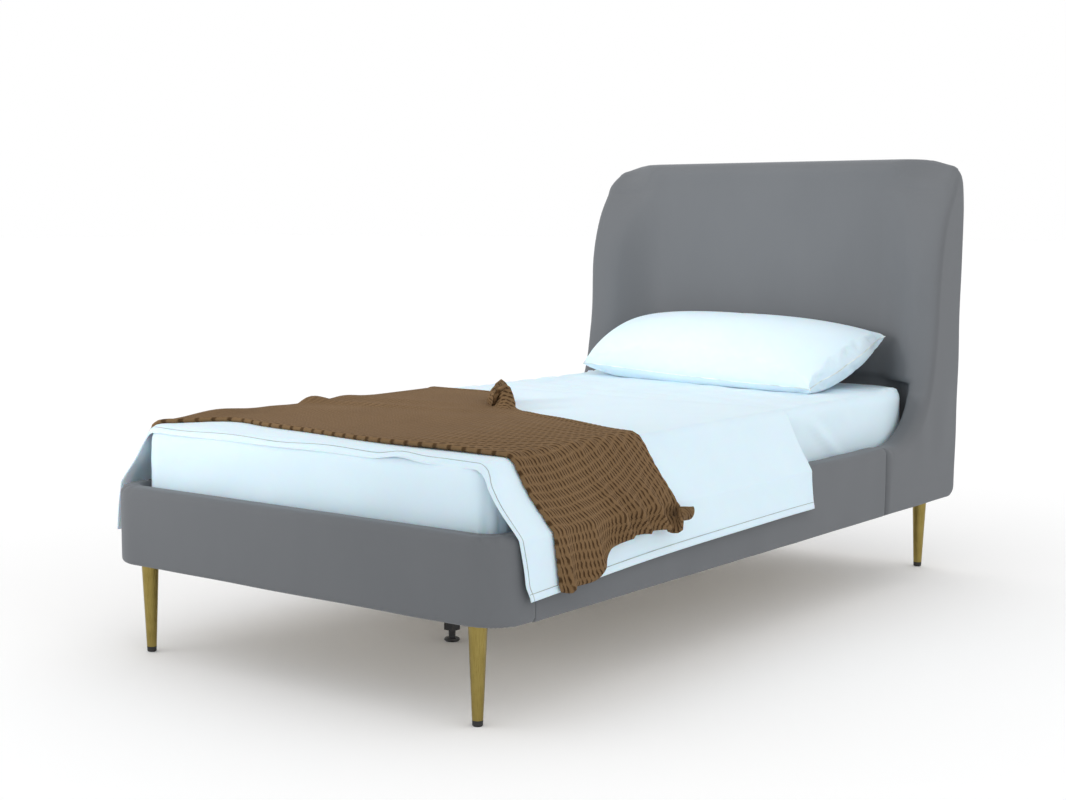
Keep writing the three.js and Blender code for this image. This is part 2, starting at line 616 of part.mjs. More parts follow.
function buildPillow() {
  const rest = MATTRESS.top + CLEAR + FITTED_THICK + CLEAR;
  const under = (height) => block(-700, 700, 1000, 2200, 0, height);
  const cloth = 2.5;
  const [x, , z] = PILLOW.frontLeft;
  const mouth = block(x - 40, x + 34, PILLOW.frontLeft[1] + 60, PILLOW.backLeft[1] - 50,
    z + 35, z + 48);
  add('pillowcase', cushion(0).subtract(under(rest))
    .subtract(cushion(4 * cloth).subtract(under(rest + cloth)))
    .subtract(mouth), COTTON);
  add('pillow', cushion(5 * cloth).subtract(under(rest + cloth + 0.5)), TICKING);
}

buildHeadboard();
buildFootboard();
buildSideRails();
buildLegs();
buildCentreSupport();
buildSlats();
buildMattress();
buildTopSheet();
buildThrow();
buildPillow();

export default group;
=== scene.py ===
"""An upholstered platform bed with its bedding: the looks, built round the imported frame."""
import math

import bpy
import numpy as np
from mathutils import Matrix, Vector


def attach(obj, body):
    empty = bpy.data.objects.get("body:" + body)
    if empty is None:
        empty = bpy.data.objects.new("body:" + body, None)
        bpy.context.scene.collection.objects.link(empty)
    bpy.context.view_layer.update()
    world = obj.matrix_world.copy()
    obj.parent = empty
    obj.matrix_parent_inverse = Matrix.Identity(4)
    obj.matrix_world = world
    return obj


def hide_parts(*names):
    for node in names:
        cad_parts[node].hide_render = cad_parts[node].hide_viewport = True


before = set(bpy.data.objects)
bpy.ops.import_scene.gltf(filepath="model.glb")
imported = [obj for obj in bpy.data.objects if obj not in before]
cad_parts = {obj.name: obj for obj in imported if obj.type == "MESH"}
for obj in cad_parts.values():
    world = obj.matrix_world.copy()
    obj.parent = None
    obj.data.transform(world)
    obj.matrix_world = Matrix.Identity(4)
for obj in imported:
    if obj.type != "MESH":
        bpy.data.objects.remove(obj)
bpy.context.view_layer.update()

# ------------------------------------------------------------------ sizes
# Millimetres: x across, y from the footboard's outside towards the head, z up.
LENGTH, HALF_WIDTH, HEIGHT = 2080.0, 550.0, 1122.0
RAIL_BOTTOM, RAIL_TOP, RAIL_THICK = 202.0, 378.0, 55.0
FOOT_CORNER_R, FOOT_RETURN_END, WING_START = 85.0, 121.0, 1646.0
FACE_Y, HEAD_CORNER_R = 1992.0, 130.0
MATTRESS = {"half": 482.5, "foot": 60.0, "head": 1965.0, "bottom": 290.8, "top": 506.0}
SHEET_TOP = 508.3  # the fitted sheet, on top of the mattress


def row(points):
    """Points in millimetres from the footboard, as metres in the row frame."""
    p = np.asarray(points, float).reshape(-1, 3)
    return (p - (0.0, LENGTH / 2, 0.0)) / 1000.0


def smooth(t):
    t = np.clip(t, 0.0, 1.0)
    return t * t * (3 - 2 * t)


def bump_at(x, centre, width):
    """1 at the centre, falling smoothly to 0 at the width."""
    return smooth(1 - np.abs(np.asarray(x, float) - centre) / width)


def waves(coords, wavelength, seed, count=14):
    """Smooth noise from -1 to 1 at points: a seeded sum of waves of about that length."""
    rng = np.random.RandomState(seed)
    coords = [np.asarray(c, float) for c in coords]
    total = 0.0
    for _ in range(count):
        way = rng.normal(size=len(coords))
        way *= 2 * math.pi / (wavelength * rng.uniform(0.7, 1.6)) / np.linalg.norm(way)
        total = total + np.sin(sum(w * c for w, c in zip(way, coords)) + rng.uniform(0, 6.28))
    return total / math.sqrt(count * 1.2)


# ------------------------------------------------------------------ camera, light and floor
scene = bpy.context.scene
scene.view_settings.view_transform = "Standard"


def add_camera():
    data = bpy.data.cameras.new("camera")
    data.lens, data.sensor_width = 59.36, 36.0
    data.shift_x, data.shift_y = 0.0961, 0.0326
    data.clip_end = 100.0
    camera = bpy.data.objects.new("camera", data)
    camera.location = (2.469, -3.576, 0.972)
    camera.rotation_euler = [math.radians(a) for a in (82.873, 0.081, 39.323)]
    scene.collection.objects.link(camera)
    scene.camera = camera


def add_spot(name, location, target, angle, radius, power):
    data = bpy.data.lights.new(name, "SPOT")
    data.spot_size, data.spot_blend, data.shadow_soft_size = math.radians(angle), 1.0, radius
    data.energy = power
    light = bpy.data.objects.new(name, data)
    light.location = location
    light.rotation_euler = (Vector(target) - Vector(location)).to_track_quat("-Z", "Y").to_euler()
    scene.collection.objects.link(light)


def add_world(strength, extra):
    """A white studio, a little stronger from the bed's right."""
    world = bpy.data.worlds.new("studio")
    world.use_nodes = True
    tree = world.node_tree

    def step(value, low, high):
        node = tree.nodes.new("ShaderNodeMapRange")
        node.interpolation_type = "SMOOTHSTEP"
        node.inputs["From Min"].default_value, node.inputs["From Max"].default_value = low, high
        tree.links.new(value, node.inputs["Value"])
        return node.outputs[0]

    def maths(operation, a, b):
        node = tree.nodes.new("ShaderNodeMath")
        node.operation = operation
        for socket, value in zip(node.inputs, (a, b)):
            if isinstance(value, float):
                socket.default_value = value
            else:
                tree.links.new(value, socket)
        return node.outputs[0]
    way = tree.nodes.new("ShaderNodeSeparateXYZ")
    tree.links.new(tree.nodes.new("ShaderNodeTexCoord").outputs["Generated"], way.inputs[0])
    right = maths("MULTIPLY", step(way.outputs[0], 0.1, 0.9), step(way.outputs[2], 0.75, 0.45))
    background = tree.nodes["Background"]
    background.inputs["Color"].default_value = (1, 1, 1, 1)
    tree.links.new(maths("ADD", maths("MULTIPLY", right, extra), strength), background.inputs["Strength"])
    scene.world = world


def add_floor(material):
    """A wide pale floor."""
    half = 60.0
    mesh = bpy.data.meshes.new("floor")
    corners = [(-half, -half, 0), (half, -half, 0), (half, half, 0), (-half, half, 0)]
    mesh.from_pydata(corners, [], [(0, 1, 2, 3)])
    floor = bpy.data.objects.new("floor", mesh)
    floor.data.materials.append(material)
    scene.collection.objects.link(floor)


# ------------------------------------------------------------------ materials
class Nodes:
    """A short way to wire a material's nodes."""

    def __init__(self, name, colour, roughness, metallic=0.0):
        self.material = bpy.data.materials.new(name)
        self.material.use_nodes = True
        self.material.diffuse_color = (*colour, 1)
        self.tree = self.material.node_tree
        self.shader = self.tree.nodes["Principled BSDF"]
        self.set(base_color=(*colour, 1), roughness=roughness, metallic=metallic)

    def set(self, **values):
        for key, value in values.items():
            self.shader.inputs[key.replace("_", " ").title().replace("Ior", "IOR")].default_value = value

    def add(self, kind, inputs=None, **settings):
        node = self.tree.nodes.new(kind)
        for key, value in settings.items():
            setattr(node, key, value)
        for key, value in (inputs or {}).items():
            self.feed(node.inputs[key], value)
        return node

    def feed(self, socket, value):
        if isinstance(value, bpy.types.NodeSocket):
            self.tree.links.new(value, socket)
        else:
            socket.default_value = value

    def math(self, operation, *values):
        node = self.add("ShaderNodeMath", operation=operation)
        for socket, value in zip(node.inputs, values):
            self.feed(socket, value)
        return node.outputs[0]

    def place(self):
        return self.add("ShaderNodeTexCoord").outputs["Object"]

    def stretched(self, vector, scale):
        return self.add("ShaderNodeMapping", {"Vector": vector, "Scale": scale}).outputs[0]

    def noise(self, vector, scale, detail=2.0, roughness=0.5):
        return self.add("ShaderNodeTexNoise", {"Vector": vector, "Scale": scale, "Detail": detail,
                                               "Roughness": roughness}).outputs["Fac"]

    def ramp(self, factor, stops):
        node = self.add("ShaderNodeValToRGB", {"Fac": factor})
        elements = node.color_ramp.elements
        while len(elements) < len(stops):
            elements.new(0.5)
        for element, (position, colour) in zip(elements, stops):
            element.position = position
            element.color = (*colour, 1) if len(colour) == 3 else colour
        return node.outputs["Color"]

    def spread(self, factor, low, high, a=0.3, b=0.7):
        """A factor's range a to b, carried to low to high."""
        return self.add("ShaderNodeMapRange", {"Value": factor, "From Min": a, "From Max": b,
                                               "To Min": low, "To Max": high}).outputs[0]

    def colour(self, value):
        self.feed(self.shader.inputs["Base Color"], value)

    def rough(self, value):
        self.feed(self.shader.inputs["Roughness"], value)

    def bump(self, height, distance, strength=1.0):
        normal = self.shader.inputs["Normal"]
        inputs = {"Height": height, "Distance": distance, "Strength": strength}
        if normal.is_linked:
            inputs["Normal"] = normal.links[0].from_socket
        self.feed(normal, self.add("ShaderNodeBump", inputs).outputs[0])


def velvet():
    n = Nodes("velvet", (0.132, 0.139, 0.148), 0.9)
    n.set(sheen_weight=0.18, sheen_roughness=0.45, sheen_tint=(0.86, 0.90, 0.95, 1), specular_ior_level=0.15)
    place = n.place()
    brushed = n.noise(n.stretched(place, (1.0, 1.0, 0.45)), 6.5, 4.0, 0.55)
    pile = n.noise(place, 950.0, 2.0, 0.6)
    shade = n.math("ADD", n.math("MULTIPLY", brushed, 0.7), n.math("MULTIPLY", pile, 0.3))
    n.colour(n.ramp(shade, [(0.3, (0.126, 0.133, 0.142)), (0.7, (0.138, 0.145, 0.154))]))
    n.rough(n.spread(brushed, 0.84, 0.96))
    n.bump(pile, 0.0006, 0.35)
    n.bump(n.noise(n.stretched(place, (1.0, 1.0, 0.6)), 9.0, 3.0, 0.5), 0.003, 0.05)
    return n.material


def cotton():
    n = Nodes("white_cotton", (0.58, 0.715, 0.80), 0.85)
    n.set(sheen_weight=0.08, sheen_roughness=0.5, specular_ior_level=0.25,
          subsurface_weight=0.3, subsurface_scale=0.004)
    place = n.place()
    soft = n.noise(place, 7.0, 3.0, 0.5)
    weave = n.noise(n.stretched(place, (1.0, 0.5, 1.0)), 1400.0, 2.0, 0.6)
    n.colour(n.ramp(n.math("ADD", n.math("MULTIPLY", soft, 0.6), n.math("MULTIPLY", weave, 0.4)),
                    [(0.3, (0.615, 0.75, 0.83)), (0.7, (0.645, 0.78, 0.86))]))
    n.rough(n.spread(weave, 0.78, 0.9))
    n.bump(weave, 0.0004, 0.25)
    n.bump(n.noise(place, 16.0, 4.0, 0.55), 0.006, 0.12)
    return n.material


def knit():
    """Rows of slanting stitches, read from the throw's own flat coordinates in metres."""
    n = Nodes("brown_knit", (0.16, 0.095, 0.048), 0.95)
    n.set(sheen_weight=0.12, sheen_roughness=0.6, sheen_tint=(0.75, 0.5, 0.3, 1), specular_ior_level=0.1)
    flat = n.add("ShaderNodeUVMap", uv_map="flat").outputs[0]
    wander = n.noise(flat, 24.0, 2.0, 0.5)
    parts = n.add("ShaderNodeSeparateXYZ", {0: flat})
    along = n.math("ADD", n.math("DIVIDE", parts.outputs[0], 0.0185), n.math("MULTIPLY", wander, 0.5))
    rank = n.math("FLOOR", along)
    inside = n.math("SUBTRACT", along, rank)
    across = n.math("ADD", n.math("DIVIDE", parts.outputs[1], 0.0102), n.math("MULTIPLY", wander, 0.6))
    across = n.math("ADD", across, n.math("MULTIPLY", rank, 0.5))
    across = n.math("FRACT", n.math("ADD", across, n.math("MULTIPLY", inside, -0.45)))
    du = n.math("DIVIDE", n.math("SUBTRACT", inside, 0.5), 0.42)
    dv = n.math("DIVIDE", n.math("SUBTRACT", across, 0.5), 0.20)
    away = n.math("ADD", n.math("MULTIPLY", du, du), n.math("MULTIPLY", dv, dv))
    raised = n.spread(away, 0.0, 1.0, 0.25, 1.5)
    yarn = n.noise(flat, 420.0, 3.0, 0.6)
    patchy = n.noise(flat, 5.0, 3.0, 0.5)
    # The sunken dashes of the stitches are coloured dark: painted shade in the grooves. The yarn and patch
    # noise are the wool's own uneven tone.
    shade = n.math("ADD", n.math("MULTIPLY", raised, 0.62),
                   n.math("ADD", n.math("MULTIPLY", yarn, 0.24), n.math("MULTIPLY", patchy, 0.24)))
    n.colour(n.ramp(shade, [(0.12, (0.042, 0.021, 0.008)), (0.45, (0.094, 0.052, 0.022)),
                            (0.95, (0.185, 0.114, 0.056))]))
    n.bump(raised, 0.003, 1.0)
    n.bump(yarn, 0.0012, 0.6)
    return n.material


def brushed_metal(name, colour, dark, roughness):
    n = Nodes(name, colour, roughness, 1.0)
    place = n.place()
    grain = n.noise(n.stretched(place, (900.0, 900.0, 18.0)), 1.0, 3.0, 0.6)
    broad = n.noise(place, 30.0, 2.0, 0.5)
    n.colour(n.ramp(n.math("ADD", n.math("MULTIPLY", grain, 0.6), n.math("MULTIPLY", broad, 0.4)),
                    [(0.3, dark), (0.7, colour)]))
    n.rough(n.spread(grain, roughness - 0.06, roughness + 0.10))
    n.bump(grain, 0.0002, 0.25)
    return n.material


def timber(name, light, dark):
    n = Nodes(name, light, 0.65)
    place = n.stretched(n.place(), (1.0, 14.0, 14.0))
    warp = n.noise(place, 2.2, 4.0, 0.6)
    rings = n.math("FRACT", n.math("MULTIPLY", warp, 9.0))
    pores = n.noise(n.stretched(n.place(), (6.0, 260.0, 260.0)), 1.0, 3.0, 0.6)
    n.colour(n.ramp(n.math("ADD", n.math("MULTIPLY", rings, 0.35), n.math("MULTIPLY", pores, 0.65)),
                    [(0.2, dark), (0.8, light)]))
    n.rough(n.spread(pores, 0.55, 0.75))
    n.bump(pores, 0.0006, 0.5)
    return n.material


def moulded(name, colour, roughness, grain_scale, distance, metallic=0.0):
    """Moulded plastic, rubber or powder-coated steel: a fine grain, worn a little on its broad parts."""
    n = Nodes(name, colour, roughness, metallic)
    place = n.place()
    grain = n.noise(place, grain_scale, 2.0, 0.6)
    broad = n.noise(place, 22.0, 3.0, 0.55)
    lighter = tuple(min(1.0, c * 1.7 + 0.006) for c in colour)
    n.colour(n.ramp(broad, [(0.35, colour), (0.75, lighter)]))
    n.rough(n.spread(broad, roughness - 0.07, roughness + 0.07))
    n.bump(grain, distance, 0.5)
    return n.material


def ticking(name, light, stripe):
    """Woven ticking with a fine stripe along the bed."""
    n = Nodes(name, light, 0.85)
    n.set(sheen_weight=0.1, specular_ior_level=0.2)
    place = n.place()
    parts = n.add("ShaderNodeSeparateXYZ", {0: place})
    line = n.math("FRACT", n.math("MULTIPLY", n.math("ADD", parts.outputs[0], parts.outputs[1]), 22.0))
    line = n.spread(n.math("ABSOLUTE", n.math("SUBTRACT", line, 0.5)), 1.0, 0.0, 0.03, 0.07)
    weave = n.noise(place, 1100.0, 2.0, 0.6)
    n.colour(n.ramp(n.math("ADD", n.math("MULTIPLY", line, 0.7), n.math("MULTIPLY", weave, 0.3)),
                    [(0.1, light), (0.9, stripe)]))
    n.bump(weave, 0.0004, 0.3)
    return n.material


def floor_material():
    n = Nodes("floor", (0.99, 0.99, 0.99), 0.9)
    n.set(specular_ior_level=0.1)
    n.colour(n.ramp(n.noise(n.place(), 0.6, 2.0, 0.5),
                    [(0.3, (0.985, 0.985, 0.985)), (0.7, (0.993, 0.993, 0.993))]))
    return n.material


VELVET = velvet()
COTTON = cotton()
KNIT = knit()
BRASS = brushed_metal("brass", (0.34, 0.265, 0.085), (0.22, 0.165, 0.045), 0.30)
STEEL = moulded("black_steel", (0.022, 0.022, 0.024), 0.45, 700.0, 0.0004, 0.6)
PLASTIC = moulded("black_plastic", (0.014, 0.014, 0.015), 0.5, 1200.0, 0.0004)
RUBBER = moulded("rubber_tip", (0.013, 0.013, 0.013), 0.7, 900.0, 0.0005)
FRAME_TIMBER = timber("frame_timber", (0.56, 0.49, 0.39), (0.40, 0.33, 0.25))
SLAT_TIMBER = timber("slat_timber", (0.66, 0.60, 0.50), (0.50, 0.43, 0.34))
TICKING = ticking("mattress_ticking", (0.78, 0.77, 0.73), (0.45, 0.50, 0.56))
PILLOW_TICKING = ticking("pillow_ticking", (0.82, 0.81, 0.78), (0.50, 0.56, 0.62))
# Grey thread for the top sheet's hem stitches: darker than the cotton as painted shade, the thin shadow line
# along the turned hem.
HEM_SHADE_THREAD = moulded("hem_shade_thread", (0.26, 0.29, 0.28), 0.9, 1500.0, 0.0003)
PIPING = moulded("cream_piping", (0.55, 0.62, 0.60), 0.9, 1500.0, 0.0003)


# ------------------------------------------------------------------ meshes
def build(name, points, faces, body, material, slot, uv=None):
    mesh = bpy.data.meshes.new(name)
    mesh.from_pydata(row(points).tolist(), [], [tuple(int(i) for i in f) for f in faces])
    mesh.polygons.foreach_set("use_smooth", [True] * len(mesh.polygons))
    if uv is not None:
        layer = mesh.uv_layers.new(name="flat")
        corners = np.zeros(len(mesh.loops), int)
        mesh.loops.foreach_get("vertex_index", corners)
        layer.data.foreach_set("uv", np.asarray(uv, np.float32)[corners].ravel())
    mesh.materials.append(material)
    piece = bpy.data.objects.new(name, mesh)
    scene.collection.objects.link(piece)
    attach(piece, body)
    return piece


def signed(outline):
    """A function giving the signed distance to a closed outline, negative inside, kept on a grid."""
    points = np.asarray(outline, float)
    step, margin = 3.0, 45.0
    low = points.min(0) - margin
    count = np.ceil((points.max(0) + margin - low) / step).astype(int) + 1
    u = low[0] + step * np.arange(count[0])[:, None]
    v = low[1] + step * np.arange(count[1])[None, :]
    best = np.full(count, 1e12)
    inside = np.zeros(count, bool)
    for (au, av), (bu, bv) in zip(points, np.roll(points, -1, 0)):
        du, dv = bu - au, bv - av
        size = du * du + dv * dv
        if size < 1e-9:
            continue
        t = np.clip(((u - au) * du + (v - av) * dv) / size, 0, 1)
        best = np.minimum(best, (u - au - t * du) ** 2 + (v - av - t * dv) ** 2)
        if abs(dv) > 1e-12:
            inside ^= ((av > v) != (bv > v)) & (u < du * (v - av) / dv + au)
    table = np.sqrt(best) * np.where(inside, -1.0, 1.0)

    def field(a, b):
        a, b = np.broadcast_arrays(np.asarray(a, float), np.asarray(b, float))
        i = np.clip((a - low[0]) / step, 0, count[0] - 1.001)
        j = np.clip((b - low[1]) / step, 0, count[1] - 1.001)
        i0, j0 = i.astype(int), j.astype(int)
        s, t = i - i0, j - j0
        return ((table[i0, j0] * (1 - s) + table[i0 + 1, j0] * s) * (1 - t)
                + (table[i0, j0 + 1] * (1 - s) + table[i0 + 1, j0 + 1] * s) * t)
    return field


def both(a, b, r):
    """Inside both shapes, with the edge between them rounded to radius r."""
    return np.minimum(np.maximum(a, b), -r) + np.hypot(np.maximum(a + r, 0), np.maximum(b + r, 0))


def either(a, b, r):
    return -both(-a, -b, r)


def skin(field, low, high, cell):
    """The closed surface where a field is 0: one vertex in each cell that it crosses."""
    low, high = np.asarray(low, float), np.asarray(high, float)
    count = np.ceil((high - low) / cell).astype(int) + 1
    axes = [low[k] + cell * np.arange(count[k]) for k in range(3)]
    values = field(axes[0][:, None, None], axes[1][None, :, None], axes[2][None, None, :])
    values = np.broadcast_to(values, count)
    inside = values < 0
    corners = [(i, j, k) for i in (0, 1) for j in (0, 1) for k in (0, 1)]
    n0, n1, n2 = count - 1
    filled = sum(inside[i:i + n0, j:j + n1, k:k + n2].astype(np.int8) for i, j, k in corners)
    cells = np.argwhere((filled > 0) & (filled < 8))
    number = np.full((n0, n1, n2), -1)
    number[tuple(cells.T)] = np.arange(len(cells))
    at = [values[tuple((cells + c).T)] for c in corners]
    total, hits = np.zeros((len(cells), 3)), np.zeros(len(cells))
    for a in range(8):
        for b in range(a + 1, 8):
            if sum(abs(p - q) for p, q in zip(corners[a], corners[b])) != 1:
                continue
            crossing = (at[a] < 0) != (at[b] < 0)
            t = np.where(crossing, at[a] / np.where(crossing, at[a] - at[b], 1), 0)
            point = np.asarray(corners[a]) + t[:, None] * (np.asarray(corners[b]) - corners[a])
            total += np.where(crossing[:, None], point, 0)
            hits += crossing
    points = low + cell * (cells + total / hits[:, None])
    faces = []
    for axis in range(3):
        o1, o2 = [k for k in range(3) if k != axis]
        ahead = [slice(None)] * 3
        behind = [slice(None)] * 3
        ahead[axis], behind[axis] = slice(1, None), slice(0, -1)
        change = inside[tuple(ahead)] != inside[tuple(behind)]
        edges = np.argwhere(change)
        edges = edges[(edges[:, o1] > 0) & (edges[:, o2] > 0)
                      & (edges[:, o1] < count[o1] - 1) & (edges[:, o2] < count[o2] - 1)]
        around = []
        for s1, s2 in ((-1, -1), (0, -1), (0, 0), (-1, 0)):
            e = edges.copy()
            e[:, o1] += s1
            e[:, o2] += s2
            around.append(number[tuple(e.T)])
        quad = np.stack(around, 1)
        flip = inside[tuple(edges.T)] == (axis == 1)
        quad[flip] = quad[flip][:, ::-1]
        faces.append(quad)
    for _ in range(4):
        f = field(*points.T)
        grad = np.stack([field(*(points + d).T) - field(*(points - d).T)
                         for d in np.eye(3) * 0.6], 1) / 1.2
        move = -f[:, None] * grad / np.maximum((grad ** 2).sum(1), 0.2)[:, None]
        length = np.linalg.norm(move, axis=1, keepdims=True)
        points = points + move * np.minimum(1, cell * 0.4 / np.maximum(length, 1e-9))
    return points, np.concatenate(faces)


def normals(points, faces):
    """Each vertex's outward normal."""
    f = np.asarray(faces)
    face = np.cross(points[f[:, 2]] - points[f[:, 0]], points[f[:, 3]] - points[f[:, 1]])
    total = np.zeros_like(points)
    for k in range(4):
        np.add.at(total, f[:, k], face)
    return total / np.maximum(np.linalg.norm(total, axis=1, keepdims=True), 1e-9)


def bezier(a, c1, c2, b, steps=14):
    t = np.linspace(0, 1, steps + 1)[1:, None]
    a, c1, c2, b = (np.asarray(p, float) for p in (a, c1, c2, b))
    return ((1 - t) ** 3 * a + 3 * (1 - t) ** 2 * t * c1 + 3 * (1 - t) * t * t * c2 + t ** 3 * b).tolist()


def arc(centre, r, start, end, steps=8):
    a = np.radians(np.linspace(start, end, steps + 1))
    return np.column_stack([centre[0] + r * np.cos(a), centre[1] + r * np.sin(a)]).tolist()


def rounded_rectangle(x0, x1, y0, y1, r0, r1):
    return (arc((x1 - r0, y0 + r0), r0, -90, 0) + arc((x1 - r1, y1 - r1), r1, 0, 90)
            + arc((x0 + r1, y1 - r1), r1, 90, 180) + arc((x0 + r0, y0 + r0), r0, 180, 270))


# ------------------------------------------------------------------ headboard
SWEEP = ([(1700, 379)] + bezier((1700, 379), (1795, 383), (1862, 445), (1885, 530))
         + bezier((1885, 530), (1897, 575), (1907, 650), (1909, 730))
         + bezier((1909, 730), (1911, 800), (1914, 858), (1932, 920)))
ROLL = bezier((1932, 920), (1950, 982), (1985, 1035), (2040, 1085)) + [(2066, HEIGHT)]
EDGE_LINE = np.array([(WING_START, RAIL_TOP)] + SWEEP + ROLL, float)


def face_y(x, z):
    front = np.interp(z, EDGE_LINE[:, 1], EDGE_LINE[:, 0])
    return FACE_Y + (front - 1 - FACE_Y) * smooth((np.abs(x) - 350) / 165)


def headboard_field():
    gap = 0.5  # half of the seam where the wing meets the side rail
    side = signed([(WING_START + gap, RAIL_BOTTOM), (WING_START + gap, RAIL_TOP)] + SWEEP
                  + bezier((1932, 920), (1945, 965), (1962, 1000), (FACE_Y, 1040))
                  + arc((FACE_Y + 40, HEIGHT - 33), 40, 180, 90) + arc((LENGTH - 16, HEIGHT - 9), 16, 90, 0)
                  + arc((LENGTH - 36, RAIL_BOTTOM + 36), 36, 0, -90))
    wide, tall = HALF_WIDTH + 5, HEIGHT + 7
    corner = ([(wide - 170, tall)]
              + bezier((wide - 170, tall), (wide - 110, tall - 1),
                       (wide - 62, tall - 11), (wide - 31, tall - 23))
              + bezier((wide - 31, tall - 23), (wide - 12, tall - 32), (wide, tall - 52), (wide, tall - 84)))
    front = signed([(-wide, RAIL_BOTTOM - 60), (wide, RAIL_BOTTOM - 60)]
                   + corner[::-1] + [(-x, z) for x, z in corner])
    inner = HALF_WIDTH - RAIL_THICK
    recess = signed(rounded_rectangle(-inner, inner, 1500, FACE_Y, 10, HEAD_CORNER_R))
    board = signed([(WING_START + 14, RAIL_BOTTOM - 40), (WING_START + 14, RAIL_TOP - 17)]
                   + [(y + 17 * math.sin(a), z - 17 * math.cos(a)) for (y, z), a in zip(
                       SWEEP[1:], np.arctan2(np.gradient([p[1] for p in SWEEP]),
                                             np.gradient([p[0] for p in SWEEP]))[1:]) if y > 1720]
                   + [(2007, 975), (2007, RAIL_BOTTOM - 40)])

    def field(x, y, z):
        body_side, body_front = side(y, z), front(x, z)
        soft = 13 + 14 * smooth((2050 - y) / 60) * smooth((z - 240) / 120) + 12 * smooth((z - 960) / 130)
        body = both(body_side, body_front, soft)
        low = np.maximum(recess(x, y), z - 522)
        high = np.maximum((y - face_y(x, z)) * 0.85, 505 - z)
        level = 1 - 0.93 * smooth((z - 960) / 50) * (1 - smooth((np.abs(x) - 340) / 120))
        body = both(body, -either(low, high, 16), (12 + 10 * smooth((z - 560) / 120)) * level)
        back = np.maximum(np.maximum(np.abs(x) - 523, 2010 - y), z - 1032)
        slot = np.maximum(np.maximum(np.abs(np.abs(x) - 523) - 10.4, board(y, z)), body + 22)
        return np.maximum(body, -np.minimum(back, slot))
    return field


def add_headboard():
    points, faces = skin(headboard_field(), (-572, 1632, 188), (572, 2094, 1144), 8.0)
    x, y, z = points.T
    out = normals(points, faces)
    free = (y < 2000) | (np.abs(x) > 535)
    # The cover's slight unevenness over its foam, and the soft drag lines from the sweep up the wing.
    drag = waves((x, y, z * 0.35), 85, 3) * bump_at(z, 430, 190) * smooth((np.abs(x) - 420) / 90)
    soft = 1.1 * waves((x, y, z), 260, 4) + 0.9 * drag
    crease = np.exp(-((y - (1668 + 0.12 * (z - 300))) / 5.0) ** 2)
    crease = crease * smooth((np.abs(x) - 540) / 6) * bump_at(z, 345, 70)
    points = points + out * ((soft - 0.6 - 1.6 * crease) * free)[:, None]
    piece = build("headboard_cover", points, faces, "frame", VELVET, "velvet")
    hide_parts("headboard_upholstery")


# ------------------------------------------------------------------ footboard and side rails
CORE = {"outer": 10.3, "inner": 44.7, "top": RAIL_TOP - 12}


def add_footboard():
    far = 400.0

    def plan(depth):
        r = FOOT_CORNER_R - depth
        half = HALF_WIDTH - depth
        return signed(arc((half - r, depth + r), r, -90, 0, 12) + [(half, far), (-half, far)]
                      + arc((r - half, depth + r), r, 180, 270, 12))
    outer, inner = plan(0.0), plan(RAIL_THICK)
    core_out, core_in = plan(CORE["outer"] - 0.6), plan(CORE["inner"] + 0.6)

    def field(x, y, z):
        strip = both(outer(x, y), -inner(x, y), 6)
        strip = both(strip, y - (FOOT_RETURN_END - 0.5), 2)
        body = both(strip, z - RAIL_TOP, 19)
        body = both(body, RAIL_BOTTOM - z, 12)
        pocket = np.maximum(np.maximum(core_out(x, y), -core_in(x, y)), z - CORE["top"] - 0.6)
        block = np.maximum(np.abs(np.abs(x) - 460.2) - 35.2, np.abs(y - 80) - 36)
        return np.maximum(body, -np.minimum(np.maximum(pocket, body + 12), np.maximum(block, z - 273)))
    points, faces = skin(field, (-562, -12, 190), (562, 134, 390), 6.0)
    x, y, z = points.T
    out = normals(points, faces)
    outside = np.minimum(inner(x, y) > 20, 1.0)
    corner = smooth((np.abs(x) - 440) / 60) * smooth((150 - y) / 60)
    fan = np.arctan2(85 - y, np.abs(x) - 465)
    tuck = -2.6 * corner * smooth((z - 350) / 24) * np.maximum(0, np.sin(fan * 17 + 1.0)) ** 3
    soft = 0.8 * waves((x, y, z), 210, 8) - 0.9 + tuck
    end = smooth((y - 60) / 50) * smooth((np.abs(x) - 520) / 20)
    points = points + out * (soft * outside * (1 - 0.5 * end))[:, None]
    piece = build("footboard_cover", points, faces, "frame", VELVET, "velvet")
    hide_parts("footboard_upholstery")


def rail_section(side):
    """The cover's section, from the inner bottom edge round the outside and back up round the board."""
    outer, inner = HALF_WIDTH, HALF_WIDTH - RAIL_THICK
    line = [(inner, RAIL_BOTTOM + 30), (inner, RAIL_TOP - 10)]
    line += arc((inner + 10, RAIL_TOP - 10), 10, 180, 90, 5)
    line += [(inner + 20, RAIL_TOP + 0.6), (outer - 24, RAIL_TOP + 0.6)]
    line += arc((outer - 15, RAIL_TOP - 15), 15, 90, 0, 7)
    line += [(outer, z) for z in (340, 315, 290, 265, 240, 220)]
    line += arc((outer - 7, RAIL_BOTTOM + 7), 7, 0, -90, 4)
    slot_out, slot_in = HALF_WIDTH - CORE["outer"] + 0.6, HALF_WIDTH - CORE["inner"] - 0.6
    line += [(slot_out, RAIL_BOTTOM), (slot_out, CORE["top"] + 0.6), (slot_in, CORE["top"] + 0.6),
             (slot_in, RAIL_BOTTOM), (inner + 3, RAIL_BOTTOM), (inner, RAIL_BOTTOM + 3)]
    line = np.array(line, float)
    return line * (side, 1)


